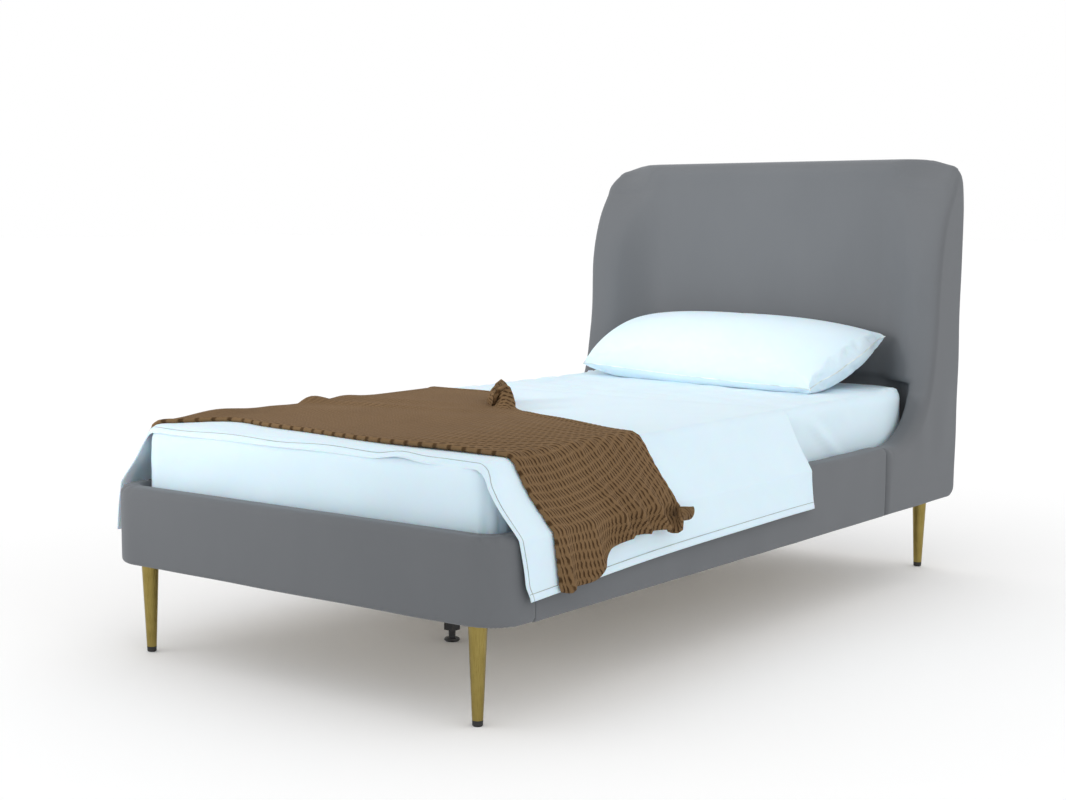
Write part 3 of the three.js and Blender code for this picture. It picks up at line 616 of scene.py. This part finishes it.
def add_rails():
    y0, y1 = FOOT_RETURN_END + 0.5, WING_START - 0.5
    stations = np.concatenate([[y0, y0 + 1.5, y0 + 4], np.arange(y0 + 12, y1 - 10, 14.0),
                               [y1 - 4, y1 - 1.5, y1]])
    for name, side in (("left", -1), ("right", 1)):
        section = rail_section(side)
        if side < 0:
            section = section[::-1]
        n, m = len(section), len(stations)
        ends = np.maximum(np.clip(1 - (stations - y0) / 4, 0, 1), np.clip(1 - (y1 - stations) / 4, 0, 1))
        shrink = ends ** 2 * 1.2
        points = np.empty((m, n, 3))
        points[:, :, 0] = section[None, :, 0]
        points[:, :, 1] = stations[:, None]
        points[:, :, 2] = section[None, :, 1]
        x, y, z = points[..., 0], points[..., 1], points[..., 2]
        face = smooth((np.abs(x) - 538) / 10)
        top = smooth((z - 366) / 8)
        dent = 0.9 * waves((y, z), 190, 12 + side) - 0.9
        x += side * face * (dent - shrink[:, None])
        z += top * (0.8 * waves((x, y), 160, 21 + side) - 0.8 - shrink[:, None])
        faces = []
        for i in range(m - 1):
            for j in range(n):
                k = (j + 1) % n
                faces.append((i * n + j, i * n + k, (i + 1) * n + k, (i + 1) * n + j))
        faces.append(tuple(range(n))[::-1])
        faces.append(tuple((m - 1) * n + j for j in range(n)))
        piece = build(f"side_rail_cover_{name}", points.reshape(-1, 3), faces, "frame", VELVET, "velvet")
        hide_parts(f"side_rail_upholstery_{name}")


# ------------------------------------------------------------------ mattress and fitted sheet
def mattress_field(margin, edge):
    m = MATTRESS
    plan = signed(rounded_rectangle(-m["half"] - margin, m["half"] + margin, m["foot"] - margin,
                                    m["head"] + margin, 50 + margin, 140 + margin))

    def field(x, y, z):
        body = both(plan(x, y), z - m["top"] - margin, edge + margin)
        return both(body, m["bottom"] - z, 12)
    return field


def add_mattress():
    m = MATTRESS
    low = (-m["half"] - 15, m["foot"] - 15, m["bottom"] - 15)
    high = (m["half"] + 15, m["head"] + 15, m["top"] + 15)
    points, faces = skin(mattress_field(-0.4, 20), low, high, 18.0)
    piece = build("mattress_body", points, faces, "mattress", TICKING, "mattress_ticking")
    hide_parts("mattress")


def shell(points, faces, out, thickness, keep):
    """Part of a surface as a closed sheet: the faces that are kept, a copy inside them and a rim between."""
    faces = np.asarray(faces)[keep]
    used = np.unique(faces)
    number = np.full(len(points), -1)
    number[used] = np.arange(len(used))
    faces = number[faces]
    outer = points[used]
    inner = outer - out[used] * thickness
    n = len(outer)
    edges = {}
    for quad in faces.tolist():
        for a, b in zip(quad, quad[1:] + quad[:1]):
            edges[(a, b)] = True
    rim = [(b, a, a + n, b + n) for a, b in edges if (b, a) not in edges]
    return np.vstack([outer, inner]), faces.tolist() + (faces[:, ::-1] + n).tolist() + rim


def add_fitted_sheet():
    m = MATTRESS
    low, high = (-m["half"] - 20, m["foot"] - 20, 250), (m["half"] + 20, m["head"] + 20, m["top"] + 20)
    points, faces = skin(mattress_field(2.0, 20), low, high, 12.0)
    out = normals(points, faces)
    x, y, z = points.T
    top = smooth((z - 500) / 6)
    bare = smooth((y - 1250) / 40)
    # Shallow puckers on top near the head, and pulled lines down the sides from the corners.
    lift = 1.6 * top * bare * (1 + waves((x, y * 2.2), 150, 31)) * smooth((1930 - y) / 60)
    side = smooth((492 - z) / 20)
    slant = np.abs(x) * 0 + (y - 1250) * 0.75 + (z - 400)
    pulled = np.maximum(0, np.sin(slant / 19 + 0.8 * np.sin(y / 90))) ** 3
    lift += 6.0 * side * pulled * bump_at(y, 1420, 190) * smooth((505 - z) / 60)
    fan = np.arctan2(110 - y, np.abs(x) - 432.5)
    pleat = np.maximum(0, np.sin(fan * 13 + 0.6 + (z - 400) / 160)) ** 3
    corner_part = smooth((np.abs(x) - 428) / 20) * smooth((128 - y) / 14) * smooth((485 - z) / 90)
    lift += 6.0 * side * pleat * corner_part
    # The elastic gathers the cloth at the head's corners.
    tuft = bump_at(np.abs(x), 474, 46) * smooth((y - 1740) / 60) * smooth((1950 - y) / 30)
    lift += 3.0 * tuft * top * (1 + np.sin(y / 5.2 + 1.5 * np.sin(y / 31)))
    lift += 1.0 * side * (1 + waves((x, y, z * 1.6), 130, 33))
    lift += 1.6 * smooth((330 - z) / 24) * (1 + waves((x, y), 22, 35))
    points = points + out * lift[:, None]
    faces = np.asarray(faces)
    keep = points[faces][:, :, 2].min(1) > 301
    points, faces = shell(points, faces, out, 1.5, keep)
    piece = build("fitted_sheet_cloth", points, faces, "mattress", COTTON, "white_cotton")
    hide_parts("fitted_sheet")
    return piece


# ------------------------------------------------------------------ cloth laid over the bed
EDGE_R, RAIL_R = 22.3, 14.4
RAIL_AXIS = (HALF_WIDTH - 14, RAIL_TOP - 14)


def half_profile(y, lift, hem, reach, counts):
    """The line of a cloth from the middle, over the mattress's edge and the rail, to its hem, at each y."""
    y = np.asarray(y, float)
    inset = 50 - np.sqrt(np.maximum(50.0 ** 2 - np.clip(110 - y, 0, 44) ** 2, 0))
    ex, ez = 462.5 - 0.5 * inset, MATTRESS["top"] - 20
    re, rr = EDGE_R + lift, RAIL_R + lift
    dx, dz = RAIL_AXIS[0] - ex, RAIL_AXIS[1] - ez
    normal = np.pi / 2 - np.arctan2(-dz, dx) + np.arcsin((rr - re) / np.hypot(dx, dz))
    xs, zs = [], []

    def put(x, z):
        xs.append(x + 0 * y)
        zs.append(z + 0 * y)
    n1, n2, n3, n4, n5 = counts
    for t in np.arange(n1) / n1:
        put(ex * t, ez + re)
    for t in np.arange(n2) / n2:
        a = np.pi / 2 + (normal - np.pi / 2) * t
        put(ex + re * np.cos(a), ez + re * np.sin(a))
    start = (ex + re * np.cos(normal), ez + re * np.sin(normal))
    end = (RAIL_AXIS[0] + rr * np.cos(normal), RAIL_AXIS[1] + rr * np.sin(normal))
    for t in np.arange(n3) / n3:
        sag = 4.5 * np.sin(np.pi * t) ** 2
        put(start[0] + (end[0] - start[0]) * t - sag * np.cos(normal) * 0.6,
            start[1] + (end[1] - start[1]) * t - sag * np.sin(normal) * 0.6)
    for t in np.arange(n4) / n4:
        a = normal * (1 - t)
        put(RAIL_AXIS[0] + rr * np.cos(a), RAIL_AXIS[1] + rr * np.sin(a))
    edge = RAIL_AXIS[0] + rr
    for t in np.arange(n5 + 1) / n5:
        put(edge + (reach - edge) * t ** 1.5, RAIL_AXIS[1] + (hem - RAIL_AXIS[1]) * t)
    return np.stack(xs, -1), np.stack(zs, -1)


def grid_normals(p):
    du, dv = np.gradient(p, axis=0), np.gradient(p, axis=1)
    n = np.cross(dv, du)
    return n / np.maximum(np.linalg.norm(n, axis=-1, keepdims=True), 1e-9)


def hang_waves(x, y, z):
    """How far the hanging cloths stand off, beyond their plain line."""
    down = smooth((470 - z) / 170)
    right = 2.6 * (1 + np.sin(y / 118 + 0.4)) * down
    left = (3.0 * (1 + np.sin(y / 61)) + 22 * smooth((260 - y) / 200) * (0.75 + 0.25 * np.sin(y / 17))) * down
    return np.where(x > 0, right, left)


def top_waves(x, y):
    return 0.5 * (1 + waves((x, y), 230, 41))


def closed_cloth(mid, thickness):
    """A grid of points as a sheet of even thickness with rounded edges."""
    rows, cols = mid.shape[:2]
    n = grid_normals(mid)
    thickness = np.broadcast_to(thickness, (rows, cols))[..., None]
    upper, lower = (mid + n * thickness / 2).reshape(-1, 3), (mid - n * thickness / 2).reshape(-1, 3)
    ring = ([(i, 0) for i in range(rows)] + [(rows - 1, j) for j in range(1, cols)]
            + [(i, cols - 1) for i in range(rows - 2, -1, -1)] + [(0, j) for j in range(cols - 2, 0, -1)])
    rim = []
    for i, j in ring:
        i2, j2 = min(max(i, 1), rows - 2), min(max(j, 1), cols - 2)
        away = mid[i, j] - mid[i2, j2]
        rim.append(mid[i, j] + away / max(np.linalg.norm(away), 1e-9) * thickness[i, j] * 0.4)
    count = rows * cols
    at = np.arange(count).reshape(rows, cols)
    quads = np.stack([at[:-1, :-1], at[1:, :-1], at[1:, 1:], at[:-1, 1:]], -1).reshape(-1, 4)
    faces = quads[:, ::-1].tolist() + (quads + count).tolist()
    for k, (i, j) in enumerate(ring):
        i2, j2 = ring[(k + 1) % len(ring)]
        a, b, p, q = at[i, j], at[i2, j2], 2 * count + k, 2 * count + (k + 1) % len(ring)
        faces += [(a, b, q, p), (p, q, b + count, a + count)]
    return np.vstack([upper, lower, rim]), faces, [i * cols + j for i, j in ring]


def between(grid, index, others, axis):
    """Points of a grid at fractional places along one of its axes."""
    index = np.clip(np.asarray(index, float), 0, grid.shape[axis] - 1.001)
    i, t = index.astype(int), (index % 1)[:, None]
    if axis == 0:
        return grid[i, others] * (1 - t) + grid[i + 1, others] * t
    return grid[others, i] * (1 - t) + grid[others, i + 1] * t


def tube(line, radius, sides=8, closed=False):
    """A round tube along a line of points, with its ends closed."""
    line = np.asarray(line, float)
    if closed:
        ahead, behind = np.roll(line, -1, 0), np.roll(line, 1, 0)
    else:
        ahead, behind = np.vstack([line[1:], line[-1:]]), np.vstack([line[:1], line[:-1]])
    way = ahead - behind
    way /= np.maximum(np.linalg.norm(way, axis=1, keepdims=True), 1e-9)
    side = np.cross(way, (0.0, 0.0, 1.0)) + np.cross(way, (0.0, 1.0, 0.0)) * 0.3
    side /= np.maximum(np.linalg.norm(side, axis=1, keepdims=True), 1e-9)
    up = np.cross(side, way)
    a = 2 * np.pi * np.arange(sides) / sides
    radius = np.broadcast_to(radius, len(line))[:, None, None]
    around = np.cos(a)[None, :, None] * side[:, None] + np.sin(a)[None, :, None] * up[:, None]
    points = line[:, None] + radius * around
    n = len(line)
    faces = []
    for i in range(n if closed else n - 1):
        for j in range(sides):
            k, i2 = (j + 1) % sides, (i + 1) % n
            faces.append((i * sides + j, i * sides + k, i2 * sides + k, i2 * sides + j))
    if not closed:
        faces.append(tuple(range(sides))[::-1])
        faces.append(tuple((n - 1) * sides + j for j in range(sides)))
    return points.reshape(-1, 3), faces


def join(parts):
    points, faces, count = [], [], 0
    for p, f in parts:
        points.append(p)
        faces += [tuple(i + count for i in face) for face in f]
        count += len(p)
    return np.vstack(points), faces


def drape(y, lift, right, left, counts):
    """The whole line over the bed at each y of a grid's columns: left hem to right hem."""
    xr, zr = half_profile(y, lift, *right, counts)
    xl, zl = half_profile(y, lift, *left, counts)
    return (np.concatenate([-xl[..., :0:-1], xr], -1), np.concatenate([zl[..., :0:-1], zr], -1))


def add_top_sheet():
    counts = (34, 6, 12, 5, 13)
    rows = 150
    b = np.linspace(0, 1, rows)[:, None]
    total = 2 * sum(counts) + 1
    k = np.arange(total) - sum(counts)
    flat_y = 62 + (1228 - 62) * b + 0 * k
    hem_y = flat_y[:, 0]
    # Both hanging hems rise towards the head, quickly at first and then hardly at all.
    climb = 1 - b[:, 0]
    right_hem = 250 + 29 * (1 - climb ** 2)
    left_hem = 262 + 14 * (1 - climb ** 2)
    x, z = drape(hem_y, 1.7, (right_hem, 560.5 + 0 * hem_y), (left_hem, 560.5 + 0 * hem_y), counts)
    hang = smooth((505 - z) / 10)
    # The near edge leans as it hangs: forward just under the mattress top, back again at its corner.
    lean = 24 * smooth((460 - z) / 180) + 12 * smooth((285 - z) / 35) - 12 * smooth((500 - z) / 40)
    near = np.where(x > 0, 61 + lean, 61)
    near = near + 1.8 * np.sin(x / 47) * (1 - hang)
    far = 1226 + 3 * np.sin(x / 90) + 5 * hang
    y = near + (far - near) * b
    # Over the mattress's round foot edge the cloth drops a little, with one small wave in its hem.
    foot = np.clip(86 - y, 0, 22)
    flat_part, turning = smooth((z - 500) / 8), smooth((z - 452) / 56)
    z = z - (22 - np.sqrt(484 - foot ** 2)) * 0.75 * turning
    z = z + 7.0 * bump_at(x, 262, 70) * smooth((96 - y) / 34) * turning
    mid = np.stack([x, y, z], -1)
    n = grid_normals(mid)
    rise = hang_waves(x, y, z) + top_waves(x, y) * flat_part
    # The hem on the foot's edge stands off a little.
    rise += 2.6 * smooth((16 - (y - near)) / 12) * turning * (1 + 0.5 * np.sin(x / 37))
    mid = mid + n * rise[..., None]
    # Turned hems: two layers along the edges, and a dip at the line of stitches.
    along = np.minimum(y - near, far - y)
    from_left = np.cumsum(np.linalg.norm(np.diff(mid, axis=1, prepend=mid[:, :1]), axis=-1), 1)
    back_again = np.diff(mid[:, ::-1], axis=1, prepend=mid[:, -1:])
    from_right = np.cumsum(np.linalg.norm(back_again, axis=-1), 1)[:, ::-1]
    down = np.minimum(from_left, from_right)
    hem = np.maximum(smooth((9 - along) / 3) * smooth((900 - y) / 90), smooth((15 - down) / 3))
    stitch = np.maximum(np.exp(-((along - 9) / 2.5) ** 2), np.exp(-((down - 15) / 3.0) ** 2))
    points, faces, _ = closed_cloth(mid, 1.7 + 1.3 * hem - 0.8 * stitch)
    piece = build("top_sheet_cloth", points, faces, "top_sheet", COTTON, "white_cotton")
    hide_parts("top_sheet")
    n = grid_normals(mid)
    rows_at, cols_at = np.arange(rows), np.arange(total)
    near_line = between(mid + n * 1.1, 9 / (far - near)[0] * (rows - 1), cols_at, 0)
    half = sum(counts)
    right_at = [np.interp(15, down[i, :half:-1], cols_at[:half:-1]) for i in rows_at]
    left_at = [np.interp(15, down[i, :half], cols_at[:half]) for i in rows_at]
    right_line = between(mid + n * 1.1, right_at, rows_at, 1)
    left_line = between(mid + n * 1.1, left_at, rows_at, 1)
    # Thin tubes along the hems in the grey thread: painted shade lines where the double hem casts a thin
    # shadow.
    parts = [tube(line, 0.7, 6) for line in (near_line, right_line, left_line)]
    points, faces = join(parts)
    stitches = build("top_sheet_hem_shade_stitches", points, faces, "top_sheet", HEM_SHADE_THREAD, "white_cotton")
    return piece, stitches


def add_throw():
    counts = (58, 6, 13, 6, 16)
    cols = 132
    b = np.linspace(0, 1, cols)[:, None]
    # The right-hand hem is lowest at its near corner, climbs, and drops a little at its far corner.
    hem_r = 258 + 70 * smooth((b[:, 0] - 0.1) / 0.4) - 16 * smooth((b[:, 0] - 0.75) / 0.15)
    reach = np.full(cols, 566.5)
    x, z = drape(np.full(cols, 300.0), 7.2, (hem_r, reach), (268 + 0 * hem_r, reach), counts)
    hang = 1 - smooth((z - 470) / 36)
    # Across the bed the near edge folds back at the left and slants to the right; the far edge swings
    # from the full width of the throw at the left to the gathered width at the right.
    near_top = 136 + 60 * smooth((200 - x) / 450) + 30 * bump_at(x, -340, 110) - 110 * smooth((-390 - x) / 80)
    far_top = 570 + 150 * smooth((500 - x) / 480) + 340 * smooth((120 - x) / 420)
    # Hanging on the right, both edges lean out towards the hem.
    near_r = 135 + 30 * smooth((475 - z) / 90)
    far_r = 571 + 0.3 * (514 - z)
    near_l, far_l = 92 + 0 * z, 1055 + 0 * z
    near = np.where(x > 480, near_r, np.where(x < -480, near_l, near_top))
    far = np.where(x > 480, far_r, np.where(x < -480, far_l, far_top))
    # Ease the joins between the flat part and the hanging parts.
    for _ in range(30):
        near[:, 1:-1] = (near[:, :-2] + 2 * near[:, 1:-1] + near[:, 2:]) / 4
        far[:, 1:-1] = (far[:, :-2] + 2 * far[:, 1:-1] + far[:, 2:]) / 4
    y = near + (far - near) * b
    flat_part = smooth((z - 500) / 8)
    mid = np.stack([x, y, z], -1)
    n = grid_normals(mid)
    rise = hang_waves(x, y, z) + top_waves(x, y) * flat_part
    # Long rumples on the left half of the bed, and a raised crest where it turns down.
    line = y - (575 + 0.22 * (x + 385))
    rumple = (7 * np.exp(-((line - 28) / 26) ** 2) + 5 * np.exp(-((line - 150) / 40) ** 2)
              + 4 * np.exp(-((line + 120) / 60) ** 2))
    rise += rumple * smooth((250 - x) / 400) * (0.7 + 0.3 * np.sin(x / 75)) * flat_part
    crest = bump_at(x, -470, 75) * (9 * bump_at(y, 275, 150) + 10 * bump_at(y, 600, 60)
                                    + 3 * bump_at(y, 720, 120))
    rise += crest
    gathers = 2.2 * (1 + np.sin(b * 2 * math.pi * 9 + 0.9 * np.sin(x / 110)))
    rise += gathers * smooth((x - 60) / 260) * (1 - 0.4 * hang)
    # Ruffles grow towards the right-hand hem, and its far corner curls out.
    path = np.cumsum(np.linalg.norm(np.diff(mid, axis=1, prepend=mid[:, :1]), axis=-1), 1)
    to_hem = path[:, -1:] - path
    phase = 2 * math.pi * (5.3 * b + 0.22 * np.sin(2 * math.pi * b * 1.4 + 0.5)) - 0.9
    wave = 0.5 + 0.5 * np.sin(phase)
    curl = smooth((b - 0.84) / 0.05)
    ruffle = wave ** 0.7 * (1 - curl) * smooth((b + 0.02) / 0.12)
    right = (x > 200) * 1.0
    grow = smooth((190 - to_hem) / 190) ** 1.4 * right
    rise += 23 * ruffle * grow
    mid = mid + n * rise[..., None]
    mid[..., 2] -= grow ** 2 * 6 * (wave - 0.5)
    mid[..., 1] += grow * 7 * np.cos(phase) * (1 - curl)
    curl = curl * right
    turned = np.clip(42 - to_hem, 0, None)
    turn = np.maximum(curl, 1e-4) / (12.0 - 0.05 * turned)
    mid[..., 2] += curl * (turned - np.sin(turn * turned) / turn)
    mid[..., 0] += np.where(turned > 0, (1 - np.cos(turn * turned)) / turn, 0)
    # The bunched corner on the far edge: the last of the cloth rolled back over itself.
    window = bump_at(x, -75, 85)
    back = (far - near) * (1 - b)
    start, radius = 70.0, 10.5
    rolled = np.clip(start - back, 0, None)
    bend = np.maximum(window, 1e-4) / radius
    mid[..., 1] += window ** 0.5 * (np.sin(bend * rolled) / bend - rolled)
    mid[..., 2] += np.where(rolled > 0, (1 - np.cos(bend * rolled)) / bend, 0)
    crumple = window * smooth(rolled / 40)
    mid += (crumple * 4.0)[..., None] * np.stack(
        [waves((x, b * 900), 45, 51), waves((x, b * 900), 45, 52),
         0.6 + 0.6 * waves((x, b * 900), 40, 53)], -1)
    # Knitted edges are a little uneven.
    edge = np.minimum(b, 1 - b) * (far - near)
    mid[..., 1] += np.sin(path / 9.25 * math.pi) * 1.3 * smooth((12 - edge) / 10)
    rolled_edge = np.minimum(edge, np.where(x > 0, to_hem, path))
    thick = 6.6 + 3.6 * smooth((13 - rolled_edge) / 5) - 2.2 * np.exp(-((rolled_edge - 17) / 2.6) ** 2)
    points, faces, ring = closed_cloth(mid, thick)
    wide = np.cumsum(np.linalg.norm(np.diff(mid, axis=0, prepend=mid[:1]), axis=-1), 0)
    flat = np.stack([path, wide], -1).reshape(-1, 2) / 1000
    uv = np.vstack([flat, flat, flat[ring]])
    piece = build("throw_knit", points, faces, "throw", KNIT, "brown_knit", uv)
    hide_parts("throw_blanket")
    return piece


# ------------------------------------------------------------------ pillow
PILLOW = {"frontLeft": (-416, 1700, 542), "frontRight": (364, 1572, 524),
          "backLeft": (-385, 1945, 650), "backRight": (400, 1920, 642)}


def cushion(thick, margin, nu, nv):
    names = ("frontLeft", "frontRight", "backLeft", "backRight")
    fl, fr, bl, br = (np.array(PILLOW[k], float) for k in names)
    normal = np.cross(fr - fl, bl - fl)
    normal /= np.linalg.norm(normal)
    length, reach = np.linalg.norm(fr - fl), np.linalg.norm(br - fr)
    u = np.sin((np.arange(nu + 1) / nu - 0.5) * math.pi * 0.96) / math.sin(0.48 * math.pi)
    v = np.sin((np.arange(nv + 1) / nv - 0.5) * math.pi * 0.96) / math.sin(0.48 * math.pi)
    u, v = np.meshgrid(u, v, indexing="ij")
    swell = np.clip((1 - np.abs(u) ** 2.7) * (1 - v ** 2), 0, None) ** 0.5
    ear = 0.008 * (np.abs(u) * np.abs(v)) ** 10
    s = u * (1 + 0.045 * (1 - v * v) + ear) * (1 - 2 * margin / length)
    t = v * (1 + 0.07 * (1 - u * u) + ear * 3) * (1 - 2 * margin / reach)
    a, c = ((1 + s) / 2)[..., None], ((1 + t) / 2)[..., None]
    base = (fl * (1 - a) + fr * a) * (1 - c) + (bl * (1 - a) + br * a) * c
    sides = [base + normal * (side * thick * swell)[..., None] for side in (1, -1)]
    n = (nu + 1) * (nv + 1)
    at = np.arange(n).reshape(nu + 1, nv + 1)
    rim = np.ones_like(at, bool)
    rim[1:-1, 1:-1] = False
    under = np.where(rim, at, at + n)
    def quads(g):
        return np.stack([g[:-1, :-1], g[1:, :-1], g[1:, 1:], g[:-1, 1:]], -1).reshape(-1, 4)
    faces = np.vstack([quads(at), quads(under)[:, ::-1]])
    points = np.vstack([sides[0].reshape(-1, 3), sides[1].reshape(-1, 3)])
    used = np.unique(faces)
    number = np.full(len(points), -1)
    number[used] = np.arange(len(used))
    return points[used], number[faces]


def inflate(points, faces, frames, pressure, cap):
    """Lets a closed cloth fill out: Blender's cloth under pressure, with how far a point may move capped."""
    mesh = bpy.data.meshes.new("inflating")
    mesh.from_pydata((points / 1000).tolist(), [], [tuple(int(i) for i in f) for f in faces])
    piece = bpy.data.objects.new("inflating", mesh)
    scene.collection.objects.link(piece)
    cloth = piece.modifiers.new("cloth", "CLOTH")
    c = cloth.settings
    c.quality, c.mass = 6, 0.25
    c.tension_stiffness = c.compression_stiffness = 22
    c.shear_stiffness, c.bending_stiffness = 8, 0.6
    c.effector_weights.gravity = 0.0
    c.use_pressure, c.uniform_pressure_force = True, pressure
    c.shrink_min = -0.035
    cloth.point_cache.frame_start, cloth.point_cache.frame_end = 1, frames
    scene.frame_start, scene.frame_end = 1, frames
    for frame_number in range(1, frames + 1):
        scene.frame_set(frame_number)
    result = piece.evaluated_get(bpy.context.evaluated_depsgraph_get())
    co = np.zeros(len(mesh.vertices) * 3)
    result.data.vertices.foreach_get("co", co)
    moved = co.reshape(-1, 3) * 1000 - points
    bpy.data.objects.remove(piece)
    scene.frame_set(1)
    length = np.linalg.norm(moved, axis=1, keepdims=True)
    return points + moved * np.minimum(1, cap / np.maximum(length, 1e-9))


def add_pillow():
    bare, bare_faces = cushion(62, 26, 40, 24)
    floor_z = SHEET_TOP + 1.2
    bare[:, 2] = np.maximum(bare[:, 2], floor_z + 3)
    filling = build("pillow_filling", bare, bare_faces, "pillow", PILLOW_TICKING, "pillow_ticking")
    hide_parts("pillow")
    points, faces = cushion(87, 0, 104, 64)
    points = inflate(points, faces, 14, 4.0, 8)
    points[:, 2] = np.where(points[:, 2] < floor_z, floor_z, points[:, 2])
    case = build("pillowcase_cloth", points, faces, "pillow", COTTON, "white_cotton")
    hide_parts("pillowcase")
    rim = [i * 65 for i in range(105)] + [104 * 65 + j for j in range(1, 65)]
    rim += [i * 65 + 64 for i in range(103, -1, -1)] + [j for j in range(63, 0, -1)]
    seam, seam_faces = tube(points[rim], 1.5, 8, closed=True)
    build("pillowcase_piping", seam, seam_faces, "pillow", PIPING, "white_cotton")


add_camera()
add_world(1.0, 0.42)
add_spot("key", (-1.7, -3.6, 1.5), (0.05, 0.9, 0.95), 38.0, 0.5, 320)
add_spot("foot", (-1.9, -2.7, 0.7), (-0.45, -1.0, 0.35), 60.0, 0.4, 22)
add_spot("face", (-0.5, -2.2, 1.9), (0.0, 0.95, 0.93), 30.0, 0.5, 120)
add_floor(floor_material())
add_headboard()
add_footboard()
add_rails()
add_mattress()
fitted = add_fitted_sheet()
sheet, sheet_hem_shade_stitches = add_top_sheet()
throw = add_throw()
add_pillow()

# ------------------------------------------------------------------ screws and the back panel's welt
def box(name):
    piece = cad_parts[name]
    corners = np.array([piece.matrix_world @ Vector(c) for c in piece.bound_box]) * 1000
    corners[:, 1] += LENGTH / 2
    return corners.min(0), corners.max(0)


def screw_head(at, way, radius, height, sides=14):
    """A low domed head with a round recess, standing on a face."""
    way = np.asarray(way, float)
    side = np.cross(way, (0.0, 1.0, 0.0) if abs(way[1]) < 0.9 else (1.0, 0.0, 0.0))
    up = np.cross(way, side)
    rings = [(1.0, -0.1), (1.0, 0.35), (0.82, 0.75), (0.5, 1.0), (0.34, 1.0), (0.30, 0.45)]
    a = 2 * np.pi * np.arange(sides) / sides
    around = np.cos(a)[:, None] * side + np.sin(a)[:, None] * up
    points = np.vstack([np.asarray(at) + way * height * h + radius * r * around for r, h in rings])
    faces = [tuple(range(sides))[::-1]]
    for k in range(len(rings) - 1):
        faces += [(k * sides + j, k * sides + (j + 1) % sides,
                   (k + 1) * sides + (j + 1) % sides, (k + 1) * sides + j)
                  for j in range(sides)]
    faces.append(tuple((len(rings) - 1) * sides + j for j in range(sides)))
    return points, faces


def add_fittings():
    slats, bolts = [], []
    for name in sorted(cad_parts):
        if name.startswith("slat_") and name[5:].isdigit():
            low, high = box(name)
            for x in (low[0] + 14, high[0] - 14):
                slats.append(screw_head((x, (low[1] + high[1]) / 2, high[2]), (0, 0, 1), 4.0, 1.6))
        if name in ("foot_bracket_left", "foot_bracket_right", "head_bracket_left", "head_bracket_right"):
            low, high = box(name)
            inward = -1.0 if low[0] > 0 else 1.0
            x = low[0] if low[0] > 0 else high[0]
            for z in (low[2] + 18, high[2] - 18):
                bolts.append(screw_head((x, (low[1] + high[1]) / 2, z), (inward, 0, 0), 6.0, 3.0))
    build("slat_screws", *join(slats), "frame", STEEL, "black_steel")
    build("bracket_bolts", *join(bolts), "frame", STEEL, "black_steel")
    low, high = box("headboard_back_panel")
    outline = rounded_rectangle(low[0] - 1, high[0] + 1, low[2] + 2, high[2] + 1, 10, 14)
    line = [(x, high[1] - 0.6, z) for x, z in outline]
    build("back_panel_welt", *tube(line, 2.4, 8, closed=True), "frame", VELVET, "velvet")


add_fittings()

# ------------------------------------------------------------------ CAD nodes that stay
BY_NAME = [("leg_tip", RUBBER), ("leg_washer", STEEL), ("leg_", BRASS), ("centre_leg", PLASTIC),
           ("levelling_foot", PLASTIC), ("slat_ledge", FRAME_TIMBER), ("slat_", SLAT_TIMBER),
           ("headboard_back_panel", VELVET), ("mattress", TICKING), ("pillowcase", COTTON),
           ("pillow", PILLOW_TICKING), ("fitted_sheet", COTTON), ("top_sheet", COTTON), ("throw", KNIT)]
for node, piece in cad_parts.items():
    material = next((m for start, m in BY_NAME if node.startswith(start)),
                    STEEL if "bracket" in node else FRAME_TIMBER)
    piece.data.materials.clear()
    piece.data.materials.append(material)
